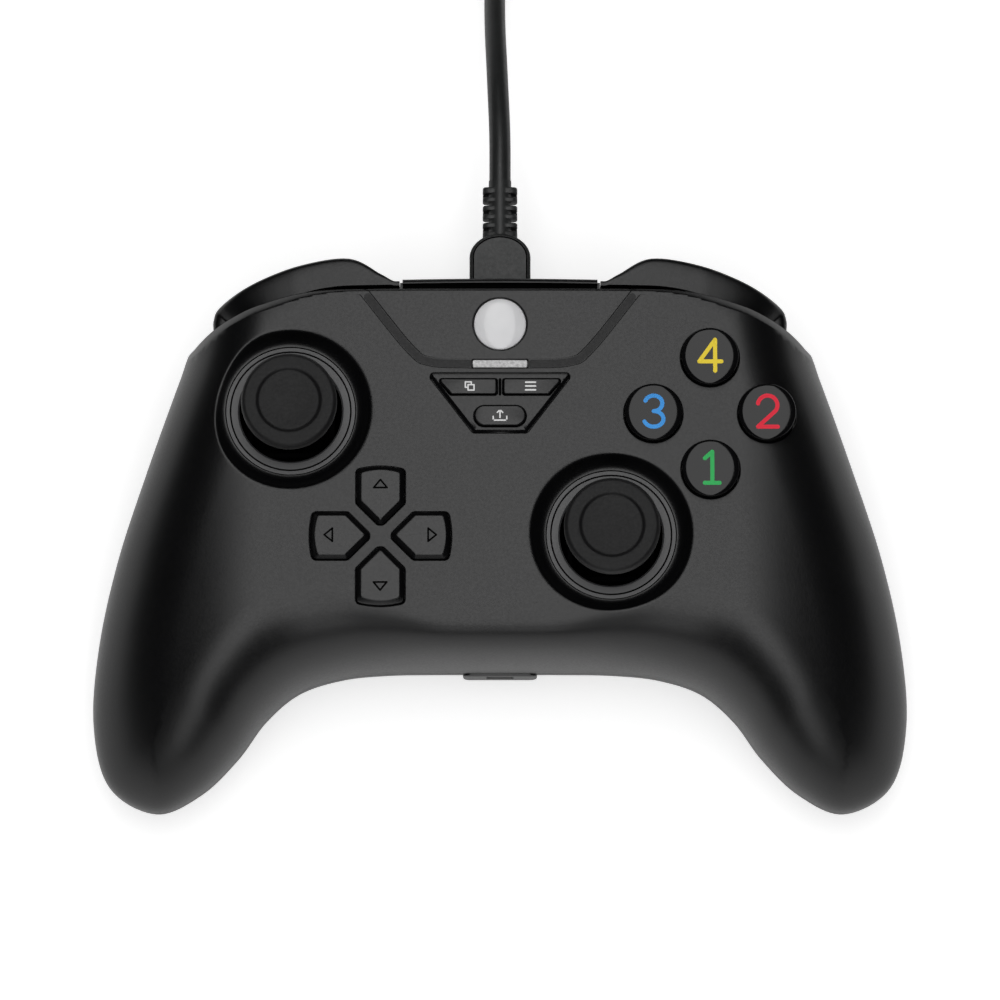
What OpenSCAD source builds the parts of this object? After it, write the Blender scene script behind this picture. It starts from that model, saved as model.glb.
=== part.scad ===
// Gamepad controller lying on its back, face up: two-part housing, thumbsticks on gimbals, sprung keys,
// bumpers, triggers, rumble motors and a detachable lead. Millimetres, +X right, +Y away from the player.

/* [Housing] */
// Overall width across the grips
body_w = 152.2; // [148:0.2:160]
// Distance of the grip tips below the origin
grip_reach = 51.8; // [50:0.2:58]
// Distance of the face's top edge above the origin
face_edge = 42.3; // [41.5:0.1:45]
// Distance of the waist between the grips below the origin
waist = 26.2; // [25.5:0.1:28]
// Height of the flat face above the table
face_z = 44; // [43:0.5:48]
// Height of the parting line at the shoulders
part_z = 25; // [24:0.5:26.5]
// How far the parting line falls towards the grip tips
part_drop = 12; // [10:0.5:13]
// Wall thickness of both shells
wall = 2.2; // [1.8:0.1:2.6]
// Width of the rounded band round the face
edge_round = 16; // [14:0.5:18]
// Width of the rounded band round the back
rear_round = 17; // [15:0.5:19]
// How far the face falls towards the sides
side_fall = 9; // [6:0.5:11]
// How far the face falls towards the grip tips
grip_fall = 17; // [14:0.5:19]
// Height of the hollows behind the triggers
valley = 9; // [6:0.5:11]
// Seam between the two shells
seam = 0.2; // [0.1:0.05:0.4]
// Clearance round every moving key
key_gap = 0.3; // [0.25:0.05:0.4]

/* [Sticks] */
// Left stick, distance left of the middle
left_stick_x = 38.7; // [37:0.1:40]
// Left stick, distance above the origin
left_stick_y = 19.6; // [18.5:0.1:21]
// Right stick, distance right of the middle
right_stick_x = 20.5; // [19:0.1:22]
// Right stick, distance below the origin
right_stick_y = 3.6; // [2.5:0.1:5]
// Radius of the dish round a stick
dish_r = 14.5; // [14:0.1:15]
// Outer radius of the friction ring
ring_r = 11.9; // [11.6:0.1:12.2]
// Inner radius of the friction ring
ring_hole_r = 9.5; // [9.2:0.1:9.8]
// Radius of the thumb cap
cap_r = 8.8; // [8.2:0.1:9]
// Height of the thumb cap's top above its pivot
cap_rise = 17; // [16.6:0.1:18]
// Radius of the stick's shaft
shaft_r = 1.5; // [1.3:0.05:1.6]
// Running clearance of pins and shafts
run_gap = 0.06; // [0.04:0.01:0.09]

/* [Buttons] */
// Face buttons, distance of the group right of the middle
face_x = 38.8; // [38:0.1:40]
// Face buttons, distance of the group above the origin
face_y = 18.7; // [18:0.1:20]
// Distance of each face button from the group's centre
face_pitch = 10.5; // [10.2:0.1:11]
// Radius of a face button
button_r = 5.25; // [4.9:0.05:5.4]
// How far a face button stands above the face
button_rise = 2.4; // [1.8:0.1:3]
// Direction keys, distance of the group left of the middle
dpad_x = 22; // [21:0.1:23]
// Direction keys, distance of the group below the origin
dpad_y = 4.2; // [3.5:0.1:5]
// Distance from the group's centre to the outer end of a direction key
dpad_reach = 12.9; // [12.4:0.1:13.4]
// Width of a direction key
dpad_w = 8.7; // [8:0.1:9]
// How far a direction key stands above the face
dpad_rise = 1.3; // [1:0.1:1.8]
// Home button, distance above the origin
home_y = 35.6; // [35:0.1:36]
// Radius of the home button
home_r = 4.8; // [4.4:0.1:5]
// Length of the pill-shaped button
pill_l = 9.35; // [8.4:0.05:9.8]
// Width of the pill-shaped button
pill_w = 3.65; // [3.2:0.05:3.9]
// Depth of the sunken menu panel
panel_depth = 0.9; // [0.6:0.1:1.1]
// Length of the status light
light_l = 10.1; // [9:0.1:11]
// Width of the status light
light_w = 1.4; // [1.2:0.1:1.8]

/* [Shoulder] */
// Half width of the bridge between the bumpers
notch_x = 18.1; // [17.5:0.1:18.6]
// Distance of a bumper's outer end from the middle
bumper_end = 53.5; // [52.8:0.1:54.2]
// Height of a bumper's underside
bumper_low = 30.5; // [30.3:0.1:31]
// Inner side of the trigger
trigger_in = 27; // [26.8:0.1:28]
// Outer side of the trigger
trigger_out = 51.4; // [50:0.1:51.6]
// Reach of the trigger's lip above the origin
trigger_reach = 51.8; // [50.5:0.1:53]
// Radius of the trigger's pin
trigger_pin_r = 1.5; // [1.3:0.1:1.8]
// Radius of the bumper's pin
bumper_pin_r = 1.2; // [1:0.1:1.4]

/* [Inside] */
// Thickness of the main board
board_t = 1.6; // [1.2:0.1:2]
// Radius of the rumble motors
motor_r = 6; // [5:0.1:6.4]
// Length of the rumble motors
motor_l = 12; // [10:0.5:13]
// Radius of the headset jack's bore
jack_r = 1.8; // [1.75:0.05:1.9]
// Length of the headset jack's bore
jack_l = 14; // [13:0.5:15]

/* [Lead] */
// Diameter of the cable
cord_d = 4; // [3.8:0.1:4.1]
// Width of the lead's moulded plug
plug_w = 11.4; // [10.4:0.1:11.8]
// Thickness of the lead's moulded plug
plug_t = 6.4; // [5.8:0.1:6.8]

/* [Hidden] */
$fn = 48;

// Levels that follow the face
half_w = body_w / 2;
// Places across the body are set for a width of 152.2 and follow the real one
wide = body_w / 152.2;
board_top = face_z - 14.5;
pivot_z = face_z - 8;
ring_top = face_z - 2.4;
ring_t = 1.4;
ring_seat = ring_top - ring_t;
guide_low = face_z - 5.8;
flange_top = guide_low - key_gap;
flange_t = 1.2;
button_flange = 0.9;
flange_low = flange_top - flange_t;
mat_t = 0.6;
mat_gap = 0.2;
panel_z = face_z - panel_depth;
eps = 0.01;

// Housing outline
shoulder_y = face_edge - 13.6;
spans = 3;
sharpness = 2.4;
rear_sharpness = 2.1;
flat_half = 44;
fall_start = 12;
fall_power = 1.7;
side_run = 32;
grip_run = grip_reach - fall_start;
part_run = 58;
hump_half = 20;
valley_run = 16;
valley_rise = 30;

// Where things sit
left_stick = [-left_stick_x * wide, left_stick_y];
right_stick = [right_stick_x * wide, -right_stick_y];
face_at = [face_x * wide, face_y];
dpad_at = [-dpad_x * wide, -dpad_y];
home_at = [0, home_y];
light_at = [0, home_y - 7.5];
panel_top = light_at.y - 1.7;
panel_low = panel_top - 11.3;
menu_top = panel_top - 1.1;
menu_low = menu_top - 2.8;
pill_at = [0, panel_low + 3.3];
quarter_turns = [0, 90, 180, 270];
sides = [-1, 1];

// Stick gimbal, measured from its pivot
frame_half = 8;
frame_wall = 0.8;
frame_top = 1.7;
trunnion_r = 1.2;
trunnion_end = frame_half - 0.1;
yoke_half = 4.5;
yoke_hole = 3.1;
yoke_t = 1.2;
hub_x = 2.4;
hub_y = 2.9;
hub_z = 1.6;
hub_pin_r = 0.8;
arch_out = 6.3;
arch_in = 5.2;
arch_half = 2.7;
arch_slot = shaft_r + 0.25;
arch_slot_y = 4.6;
dome_r = ring_hole_r + 0.6;
dome_t = 0.8;
dome_angle = 47;
neck_r = 3.4;
cap_t = 3.7;
shaft_low = 4.5;
shaft_top = cap_rise - 5.8;
stick_hole_r = 10.6;
collar_r = 13.5;

// Shoulder parts
bridge_back = face_edge - 0.5;
bridge_front = face_edge + 2.6;
bridge_top = face_z - wall - 0.6;
bumper_hinge = [notch_x + 3.4, face_edge - 3.8];
bumper_eye_r = 2.6;
bumper_press = 1.8;
roof_gap = 1;
lug_t = 1.3;
bumper_tip = bumper_end * wide;
pull_in = trigger_in * wide;
pull_out = trigger_out * wide;
lug_low = bumper_low - 0.1;
lug_in = 7;
lug_half = 2.4;
lug_front = face_edge - 3.1;
trigger_hub_r = 3.1;
trigger_pivot_z = bumper_low - 6.5;
trigger_top = bumper_low - 1.1;
trigger_lip = 8.5;
trigger_t = 3;
hub_l = 6;
web_t = 2;
cheek_t = 1.2;
cheek_gap = 0.2;
pocket_in = pull_in - key_gap - cheek_t - cheek_gap;
pocket_out = pull_out + key_gap + cheek_t + cheek_gap;
pocket_back = 31.2;
back_t = 1.8;
pivot_y = pocket_back + trigger_hub_r + 0.4;
frame_high = board_top - board_t - 0.3;
switch_size = [4, 3.4, 5];
switch_at = [bumper_tip - 7.5, pocket_back - 2.6];
plunger_reach = 0.6;

// Inside
guide_wall = 1.35;
post_r = 3.2;
pilot_r = 1.1;
screw_r = 1.05;
screw_head_r = 2.6;
screw_head_t = 1.8;
screw_sink = 3;
screw_bite = 5;
housing_posts = [[50 * wide, 8], [62 * wide, 13.8 - grip_reach]];
board_posts = [[0, 6], [37 * wide, -8], [-40 * wide, 0]];
board_post_r = 2.4;
motor_x = 57 * wide;
motor_z = 14;
motor_y = 25.8 - grip_reach;
weight_r = 7.4;
weight_t = 6.5;
cradle_t = 2;
jack_z = parting(-waist) - 2.9;
jack_half = 3.4;
jack_mouth = -waist + 1.6;
boss_half = 6.95;
boss_y = -waist - 0.4;
boss_low = jack_z - 3.3;
audio_t = 1.2;
jack_nose_r = jack_r + 1.2;
seat_gap = 0.15;

// Lead
plug_z = board_top + 1.6;
plug_start = bridge_front - 2.4;
plug_end = bridge_front + 10;
relief_w = 6.5;
relief_end = 65.5;
cord_r = cord_d / 2;
cord_sides = 8;
lay_z = 2.9;
coil_at = [35.8, 176];
coil_in = 16;
coil_turns = 4;
coil_pitch = 5.2;
layer_pitch = 4.9;
coil_layers = 4;
loop_rings = 24;
loop_sides = 6;
coil_out = coil_in + coil_turns * coil_pitch;
coil_top = lay_z + (coil_layers - 1) * layer_pitch;
tie_t = 0.7;
tie_w = 10;
tie_gap = 0.2;
tail_end = [9, -28];
usb_z = coil_top + cord_r + 4.2;
usb_size = [16, 15.5, 8];
lead_route = [
    [0, relief_end, plug_z], [0, 68, plug_z], [0, 72, 30.7], [-0.1, 77, 29.6], [-0.3, 82, 27.9],
    [-0.5, 87, 25.5], [-0.7, 92, 22.6], [-0.9, 97, 19.3], [-1, 102, 15.9], [-1, 107, 12.5],
    [-1, 112, 9.4], [-1, 117, 6.7], [-1, 122, 4.6], [-1, 127, 3.4],
    for (y = [132:8:coil_at.y - cord_d]) [-1, y, lay_z]
];
tail_route = [
    [36.8, -4, coil_top], [36.8, -8, coil_top], [36.1, -13.2, 17.9], [34.1, -18, 18.9],
    [30.9, -22.1, 20.4], [26.8, -25.3, 22], [22, -27.3, 23.2], [16.8, -28, usb_z],
    [13, -28, usb_z], [tail_end.x, tail_end.y, usb_z]
];

// Colours
shell_black = "#39393b";
gloss_black = "#161618";
key_black = "#232325";
ring_grey = "#585858";
steel = "#b9bcc0";
mat_grey = "#8a8d90";
board_green = "#1d5a3a";
frame_grey = "#4a4c50";
cable_black = "#1b1b1d";

// Curves and distances

function unit(v) = v / norm(v);
function mix(a, b, t) = a + (b - a) * t;
function ease(t) = let (u = max(0, min(1, t))) u * u * (3 - 2 * u);
function mirrored(p) = [-p.x, p.y];
function reversed(list) = [for (i = [len(list) - 1:-1:0]) list[i]];

// A smooth curve through control points: one span between b and c
function bend(a, b, c, d, t) =
    0.5 * (2 * b + (c - a) * t + (2 * a - 5 * b + 4 * c - d) * t * t
    + (3 * b - a - 3 * c + d) * t * t * t);
function curve(knots, before, after, steps) =
    let (all = concat([before], knots, [after]))
    [for (i = [0:len(knots) - 2]) for (j = [0:steps - 1])
        bend(all[i], all[i + 1], all[i + 2], all[i + 3], j / steps), knots[len(knots) - 1]];
function open_curve(knots, steps) =
    let (n = len(knots))
    curve(knots, 2 * knots[0] - knots[1], 2 * knots[n - 1] - knots[n - 2], steps);
function mirror_curve(knots, steps) =
    curve(knots, mirrored(knots[1]), mirrored(knots[len(knots) - 2]), steps);

function gap_to(p, a, b) =
    let (v = b - a, t = max(0, min(1, ((p - a) * v) / (v * v)))) norm(p - a - t * v);
function edge_gap(p, line) =
    let (q = [abs(p.x), p.y]) min([for (i = [0:len(line) - 2]) gap_to(q, line[i], line[i + 1])]);

// Housing outline, from the middle of the waist round one grip tip to the middle of the top

function side_at(share, rise) = [share * half_w, -waist + rise * (shoulder_y + waist)];
function grip_at(share, fall) = [share * half_w, -waist - fall * (grip_reach - waist)];
waist_knots = [
    grip_at(0, 0), grip_at(0.066, 0), grip_at(0.158, 0), grip_at(0.276, 0.006), grip_at(0.388, 0.04),
    grip_at(0.493, 0.14), grip_at(0.5755, 0.34), grip_at(0.644, 0.6055), grip_at(0.736, 0.863)
];
side_knots = [
    grip_at(0.8475, 1), grip_at(0.962, 0.8125), grip_at(1, 0.383), side_at(0.9855, 0.0765),
    side_at(0.938, 0.368), side_at(0.867, 0.6776), side_at(0.786, 1)
];
front_top_knots = [[0.7 * half_w, face_edge + 4], [0.42 * half_w, face_edge + 15], [0, face_edge + 18]];
rear_top_knots = [[0.7 * half_w, face_edge - 6.3], [0.434 * half_w, face_edge - 0.9], [0, face_edge - 0.3]];
function outline(top_knots) = mirror_curve(concat(waist_knots, side_knots, top_knots), spans);
tip_row = len(waist_knots) * spans;
front_line = outline(front_top_knots);
rear_line = outline(rear_top_knots);

function parting(y) = part_z - part_drop * ease(-y / part_run);
function bulge(gap, round, power) =
    let (rest = 1 - min(1, max(0, gap) / round)) pow(1 - pow(rest, power), 1 / power);
function crown(p) =
    face_z - side_fall * pow(max(0, abs(p.x) - flat_half) / side_run, 2)
    - grip_fall * pow(max(0, -fall_start - p.y) / grip_run, fall_power);
function hollow(p) = valley * ease((abs(p.x) - hump_half) / valley_run) * ease((p.y + waist - 4) / valley_rise);

// Height of the front or rear shell at a point, inset from the outer skin
function front_z(p, line, inset) =
    parting(p.y) + (crown(p) - inset - parting(p.y)) * bulge(edge_gap(p, line) - inset, edge_round, sharpness);
function rear_z(p, line, inset) =
    parting(p.y) - seam
    - (parting(p.y) - seam - hollow(p) - inset) * bulge(edge_gap(p, line) - inset, rear_round, rear_sharpness);

// Shell grid: rows run from the right grip tip over the middle to the left one, columns across the body

function inset_line(line, gap) =
    let (n = len(line), all = concat([mirrored(line[1])], line, [mirrored(line[n - 2])]))
    [for (i = [0:n - 1]) let (t = unit(all[i + 2] - all[i])) line[i] + gap * [-t.y, t.x]];
function across(length, round, columns) =
    let (reach = min(round, 0.45 * length) / length,
        near = [for (k = [0:columns]) reach * (1 - cos(90 * k / columns))])
    concat(near, [0.5], [for (t = reversed(near)) 1 - t]);
function row_ends(line, row) =
    let (k = row <= tip_row ? row : 2 * tip_row - row, flip = row <= tip_row ? 1 : -1)
    [for (p = [line[tip_row + k], line[tip_row - k]]) [flip * p.x, p.y]];
function grid_points(line, inset, front, columns) =
    let (edge = inset_line(line, inset), round = front ? edge_round : rear_round)
    [for (row = [0:2 * tip_row])
        let (ends = row_ends(edge, row), length = norm(ends[1] - ends[0]))
        for (t = length < eps ? [0] : across(length, round, columns))
            let (p = mix(ends[0], ends[1], t))
            [p.x, p.y, t < eps || t > 1 - eps ? parting(p.y) - (front ? 0 : seam)
                : front ? front_z(p, line, inset) : rear_z(p, line, inset)]];
function grid_index(row, column, width) = row == 0 ? 0 : 1 + (row - 1) * width + column;
function grid_faces(start, width) =
    let (last = 2 * tip_row)
    [for (row = [0:last - 1]) for (k = [0:width - 2])
        let (a = start + grid_index(row, k, width), b = start + grid_index(row, k + 1, width),
            c = start + grid_index(row + 1, row == last - 1 ? 0 : k, width),
            d = start + grid_index(row + 1, row == last - 1 ? 0 : k + 1, width))
        each row == 0 ? [[start, c, d]] : row == last - 1 ? [[a, c, b]] : [[a, c, d], [a, d, b]]];
function grid_loop(start, width) =
    let (last = 2 * tip_row)
    [for (row = [0:last - 1]) start + grid_index(row, 0, width),
        for (row = [last:-1:1]) start + grid_index(row, row == last ? 0 : width - 1, width)];
function turned(faces) = [for (f = faces) [f[0], f[2], f[1]]];

// A hollow shell, open at the parting line
module shell(line, front, columns_out = 5, columns_in = 4) {
    outer = grid_points(line, 0, front, columns_out);
    inner = grid_points(line, wall, front, columns_in);
    start = len(outer);
    width_out = 2 * columns_out + 3;
    width_in = 2 * columns_in + 3;
    out_loop = grid_loop(0, width_out);
    in_loop = grid_loop(start, width_in);
    count = len(out_loop);
    rim = [for (i = [0:count - 1]) let (j = (i + 1) % count)
        each [[out_loop[i], in_loop[i], in_loop[j]], [out_loop[i], in_loop[j], out_loop[j]]]];
    faces = concat(grid_faces(0, width_out), turned(grid_faces(start, width_in)), rim);
    polyhedron(concat(outer, inner), front ? turned(faces) : faces);
}

// A solid through rings of points, each ring a closed ladder of two facing sides
module loft(rings) {
    n = len(rings[0]);
    half = n / 2;
    count = len(rings);
    walls = [for (r = [0:count - 2]) for (i = [0:n - 1]) let (j = (i + 1) % n)
        each [[r * n + i, r * n + j, (r + 1) * n + j], [r * n + i, (r + 1) * n + j, (r + 1) * n + i]]];
    function lid(start) = [for (i = [0:half - 2])
        each [[start + i, start + n - 1 - i, start + n - 2 - i], [start + i, start + n - 2 - i, start + i + 1]]];
    polyhedron([for (ring = rings) each ring], concat(walls, lid(0), turned(lid((count - 1) * n))));
}

// A round tube along a path; up is any direction that the path never follows
module tube(path, radius, sides_n, up = [0, 0, 1]) {
    n = len(path);
    points = [for (i = [0:n - 1])
        let (t = unit(path[min(n - 1, i + 1)] - path[max(0, i - 1)]), s = unit(cross(t, up)), u = cross(s, t))
        for (k = [0:sides_n - 1]) path[i] + radius * (cos(360 * k / sides_n) * s + sin(360 * k / sides_n) * u)];
    walls = [for (i = [0:n - 2]) for (k = [0:sides_n - 1])
        let (j = (k + 1) % sides_n, a = i * sides_n, b = a + sides_n)
        each [[a + k, a + j, b + j], [a + k, b + j, b + k]]];
    first = [for (k = [1:sides_n - 2]) [0, k + 1, k]];
    base = (n - 1) * sides_n;
    last = [for (k = [1:sides_n - 2]) [base, base + k, base + k + 1]];
    polyhedron(points, concat(walls, first, last));
}

// Flat outlines

// A polygon with round corners
function rounded(points, radius, steps = 5) =
    let (n = len(points))
    [for (i = [0:n - 1])
        let (p = points[i], u = unit(points[(i + n - 1) % n] - p), v = unit(points[(i + 1) % n] - p),
            half = acos(u * v) / 2, centre = p + unit(u + v) * radius / sin(half),
            a = p + u * radius / tan(half) - centre, b = p + v * radius / tan(half) - centre,
            turn = 180 - 2 * half, way = u.x * v.y - u.y * v.x > 0 ? -1 : 1)
        for (k = [0:steps]) let (w = way * turn * k / steps)
            centre + [a.x * cos(w) - a.y * sin(w), a.x * sin(w) + a.y * cos(w)]];
function box_points(w, l) = [[-w / 2, -l / 2], [w / 2, -l / 2], [w / 2, l / 2], [-w / 2, l / 2]];
// A band of even width along a path
function band(path, width) =
    let (n = len(path),
        normals = [for (i = [0:n - 1])
            let (t = unit(path[min(n - 1, i + 1)] - path[max(0, i - 1)])) [-t.y, t.x] * width / 2])
    concat([for (i = [0:n - 1]) path[i] + normals[i]], [for (i = [n - 1:-1:0]) path[i] - normals[i]]);
// A direction key pointing to the group's centre; grow widens it all round
function key_points(grow) =
    let (half = dpad_w / 2 + grow, knee = dpad_reach - 6.8 - grow * (sqrt(2) - 1),
        nose = dpad_reach - 10.7 - grow)
    [[half, knee], [half, dpad_reach - 0.3 + grow], [half / 2, dpad_reach - 0.07 + grow],
        [-half / 2, dpad_reach - 0.07 + grow], [-half, dpad_reach - 0.3 + grow], [-half, knee],
        [-(nose - knee + half), nose], [nose - knee + half, nose]];
// A menu key beside the middle line; side is -1 on the left and 1 on the right
function menu_points(side, grow, inner) =
    let (low = menu_low - grow, top = menu_top + grow)
    rounded([for (p = [[0.65 - inner, low], [9 + 1.3 * grow, low], [11.5 + 1.3 * grow, top], [0.65 - inner, top]])
        [side * p.x, p.y]], 0.4);
function panel_points(grow) =
    rounded([[-13.66 - grow, panel_top + grow], [-4.97 - grow, panel_low - grow],
        [4.97 + grow, panel_low - grow], [13.66 + grow, panel_top + grow]], 1.2);
groove_half = open_curve([[25.2, face_edge - 0.7], [16.65, light_at.y + 2.8], [12.85, light_at.y + 0.4],
    [light_l / 2, light_at.y]], 4);
face_knots = [[0, 0], [27, -0.1], [37, -0.7], [44.4, -2.7], [48.5, -4.3], [53, -6.6], [57, -9.4], [61, -12.8]];
face_line = [for (p = mirror_curve(face_knots, spans)) [p.x * wide, p.y + face_edge]];

module slab(points, low, high) {
    translate([0, 0, low])
        linear_extrude(high - low)
            polygon(points);
}

module rod(at, radius, low, high) {
    translate([at.x, at.y, low])
        cylinder(r = radius, h = high - low);
}

module block(low, high) {
    translate(low)
        cube(high - low);
}

// An upright plate across the body, from points in x and z
module wall_y(points, from, to) {
    translate([0, to, 0])
        rotate([90, 0, 0])
            linear_extrude(to - from)
                polygon(points);
}

// An upright plate along the body, from points in y and z
module wall_x(points, from, to) {
    translate([from, 0, 0])
        rotate([90, 0, 90])
            linear_extrude(to - from)
                polygon(points);
}

module along_x(at, radius, from, to) {
    translate([from, at.x, at.y])
        rotate([0, 90, 0])
            cylinder(r = radius, h = to - from);
}

module along_y(at, radius, from, to) {
    translate([at.x, from, at.y])
        rotate([-90, 0, 0])
            cylinder(r = radius, h = to - from);
}

function around(centre, angle, radius) = centre + radius * [cos(angle), sin(angle)];
function button_at(angle) = around(face_at, angle, face_pitch);

// Top of a screw post, just inside the front skin at the post's lowest side
function post_top(p) = min([for (a = quarter_turns) front_z(around(p, a, post_r), front_line, wall)]) + 0.3;
// Depth of a housing screw's seat, and the lower edge of a rib that stands on the rear shell
function screw_seat(p) = rear_z(p, rear_line, 0) + screw_sink;
function rib_foot(a, b) =
    [for (k = [0:4]) let (p = mix(a, b, k / 4)) rear_z(p, rear_line, wall / 2)];

// Housing

module stick_well(at) {
    translate([at.x, at.y, 0])
        rotate_extrude()
            polygon(concat(
                [[0, guide_low - 1], [stick_hole_r, guide_low - 1], [stick_hole_r, ring_seat],
                    [ring_r + 0.1, ring_seat], [ring_r + 0.1, ring_top + 0.1]],
                [for (k = [0:5]) [mix(dish_r + 2.4, ring_r + 0.2, cos(18 * k)),
                    mix(ring_top + 0.1, face_z + 0.35, sin(18 * k))]],
                [[dish_r + 2.4, face_z + 3], [0, face_z + 3]]));
}

module front_housing() {
    inside = face_z - wall + 0.3;
    low_roof = face_z - 3.6;
    roof_end = face_at.x + face_pitch + 2.7;
    button_guide = button_r + key_gap + guide_wall;
    color(shell_black)
        difference() {
            union() {
                shell(front_line, true);
                for (at = [left_stick, right_stick])
                    rod(at, collar_r, guide_low, inside);
                for (angle = quarter_turns) {
                    rod(button_at(angle), button_guide, guide_low, low_roof);
                    intersection() {
                        rod(button_at(angle), button_guide, guide_low, inside);
                        block([0, 0, 0], [roof_end, face_edge, face_z]);
                    }
                    translate([dpad_at.x, dpad_at.y, 0])
                        rotate(angle)
                            slab(key_points(key_gap + guide_wall), guide_low, angle == 180 ? low_roof : inside);
                }
                rod(dpad_at, dpad_reach - 1.6, low_roof - 0.4, inside);
                rod(home_at, home_r + key_gap + 0.9, guide_low + 1.2, inside);
                for (p = housing_posts, side = sides)
                    rod([side * p.x, p.y], post_r, parting(p.y), post_top(p));
                for (p = board_posts)
                    rod(p, board_post_r, board_top, inside);
            }
            for (side = sides)
                slab(concat([for (p = face_line) [side * p.x, p.y]], [[side * 80, 29], [side * 80, 80], [0, 80]]),
                    part_z - 4, face_z + 4);
            for (at = [left_stick, right_stick])
                stick_well(at);
            for (angle = quarter_turns) {
                rod(button_at(angle), button_r + key_gap, guide_low - 1, face_z + 1);
                rod(button_at(angle), button_r + button_flange + key_gap, flange_low - 3, guide_low);
                translate([dpad_at.x, dpad_at.y, 0])
                    rotate(angle)
                        slab(key_points(key_gap), guide_low - 1, face_z + 1);
            }
            rod(home_at, home_r + key_gap, guide_low, face_z + 1);
            translate([light_at.x, light_at.y, 0])
                slab(rounded(box_points(light_l + 0.2, light_w + 0.2), 0.4), face_z - wall - 1, face_z + 1);
            slab(panel_points(0), panel_z, face_z + 1);
            translate([pill_at.x, pill_at.y, 0])
                slab(rounded(box_points(pill_l + 2 * key_gap, pill_w + 2 * key_gap), pill_w / 2, 8),
                    face_z - wall - 1, face_z + 1);
            for (side = sides) {
                slab(menu_points(side, key_gap, key_gap), face_z - wall - 1, face_z + 1);
                slab(band([for (p = groove_half) [side * p.x, p.y]], 1.5), face_z - 0.4, face_z + 1);
                for (p = housing_posts)
                    rod([side * p.x, p.y], pilot_r, parting(p.y) - 1, parting(p.y) + screw_bite + 1.5);
            }
            for (p = board_posts)
                rod(p, pilot_r, board_top - 1, board_top + 7);
        }
}

module rear_housing() {
    audio_low = jack_z + jack_half;
    rib_x = jack_half + 0.4;
    rib_t = 2;
    rib_start = -waist + 5;
    rib_end = jack_mouth + jack_l;
    cradle_half = motor_r + 1.5;
    rim = parting(-waist) - seam;
    color(shell_black)
        difference() {
            union() {
                shell(rear_line, false);
                for (p = housing_posts, side = sides)
                    rod([side * p.x, p.y], post_r + 0.4, rear_z(p, rear_line, wall) - 0.6, parting(p.y) - seam);
                for (side = sides) {
                    for (y = [motor_y + 1, motor_y + motor_l - 1 - cradle_t])
                        let (a = side * motor_x - cradle_half, b = side * motor_x + cradle_half,
                            foot = rib_foot([a, y], [b, y]))
                        wall_y(concat([for (k = [0:4]) [mix(a, b, k / 4), foot[k]]], [[b, motor_z], [a, motor_z]]),
                            y, y + cradle_t);
                    let (foot = rib_foot([rib_x, rib_start], [rib_x, rib_end]))
                    mirror([side < 0 ? 1 : 0, 0, 0])
                        wall_x(concat([for (k = [0:4]) [mix(rib_start, rib_end, k / 4), foot[k]]],
                            [[rib_end, audio_low], [rib_start, audio_low]]), rib_x, rib_x + rib_t);
                }
                wall_y(rounded([[-boss_half, boss_low], [boss_half, boss_low], [boss_half, rim], [-boss_half, rim]], 1.5),
                    boss_y, jack_mouth);
            }
            for (side = sides) {
                block([min(side * pocket_in, side * pocket_out), pocket_back - back_t - cheek_gap, -1],
                    [max(side * pocket_in, side * pocket_out), 60, part_z + 2]);
                along_y([side * motor_x, motor_z], motor_r + 0.1, motor_y, motor_y + motor_l);
                for (p = housing_posts) {
                    rod([side * p.x, p.y], screw_head_r + 0.3, -1, screw_seat(p) + screw_head_t);
                    rod([side * p.x, p.y], pilot_r + 0.1, screw_seat(p), part_z);
                }
            }
            along_y([0, jack_z], jack_r + 0.6, boss_y - 1, jack_mouth + 1);
            along_y([0, jack_z], jack_nose_r + seat_gap, jack_mouth - seat_gap, jack_mouth + 2);
            block([-jack_half - seat_gap, jack_mouth + 0.6 - seat_gap, jack_z - jack_half - seat_gap],
                [jack_half + seat_gap, jack_mouth + jack_l + 2, part_z]);
        }
}

module top_bridge() {
    front = open_curve([[-notch_x, bridge_front - 0.2], [0, bridge_front], [notch_x, bridge_front - 0.2]], 4);
    back = [for (p = reversed(front)) [p.x, bridge_back]];
    levels = [[0, part_z + 0.3], [0, bridge_top - 3], [0.15, bridge_top - 1], [0.45, bridge_top - 0.2], [0.6, bridge_top]];
    n = len(front);
    color(gloss_black)
        difference() {
            union() {
                loft([for (level = levels) concat(
                    [for (i = [0:n - 1]) let (p = mix(front[i], back[n - 1 - i], level[0])) [p.x, p.y, level[1]]],
                    [for (p = back) [p.x, p.y, level[1]]])]);
                for (side = sides)
                    mirror([side < 0 ? 1 : 0, 0, 0]) {
                        block([lug_in, bumper_hinge.y - lug_half, lug_low],
                            [bumper_hinge.x + lug_half, lug_front, lug_low + lug_t]);
                        block([lug_in, bumper_hinge.y - lug_half, lug_low], [notch_x, bridge_back + 1, lug_low + lug_t]);
                        rod(bumper_hinge, bumper_pin_r, lug_low, lug_low + 8.6);
                    }
            }
            wall_y([for (p = rounded(box_points(plug_w + 2 * key_gap, plug_t + 2 * key_gap), 2.6)) [p.x, plug_z + p.y]],
                bridge_back - 1, bridge_front + 1);
        }
}

// Shoulder

bumper_outer = [[0.008, 2.6], [0.11, 4.3], [0.277, 7], [0.542, 5.7], [0.794, 2.3], [0.963, -1.3], [1, -3.6], [1, -6.2]];
bumper_inner = [[0.008, -2.6], [0.11, -2.6], [0.277, -2.8], [0.52, -3.3], [0.72, -5.1], [0.83, -6.9], [0.88, -7.9],
    [0.92, -8.7]];
bumper_levels = [[0.12, 0], [0, 0.12], [0, 0.45], [0.06, 0.7], [0.2, 0.87], [0.42, 0.97], [0.6, 1]];
function bumper_side(knots) =
    open_curve([for (k = knots) [mix(notch_x + 0.3, bumper_tip, k.x), face_edge + k.y]], spans);
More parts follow.
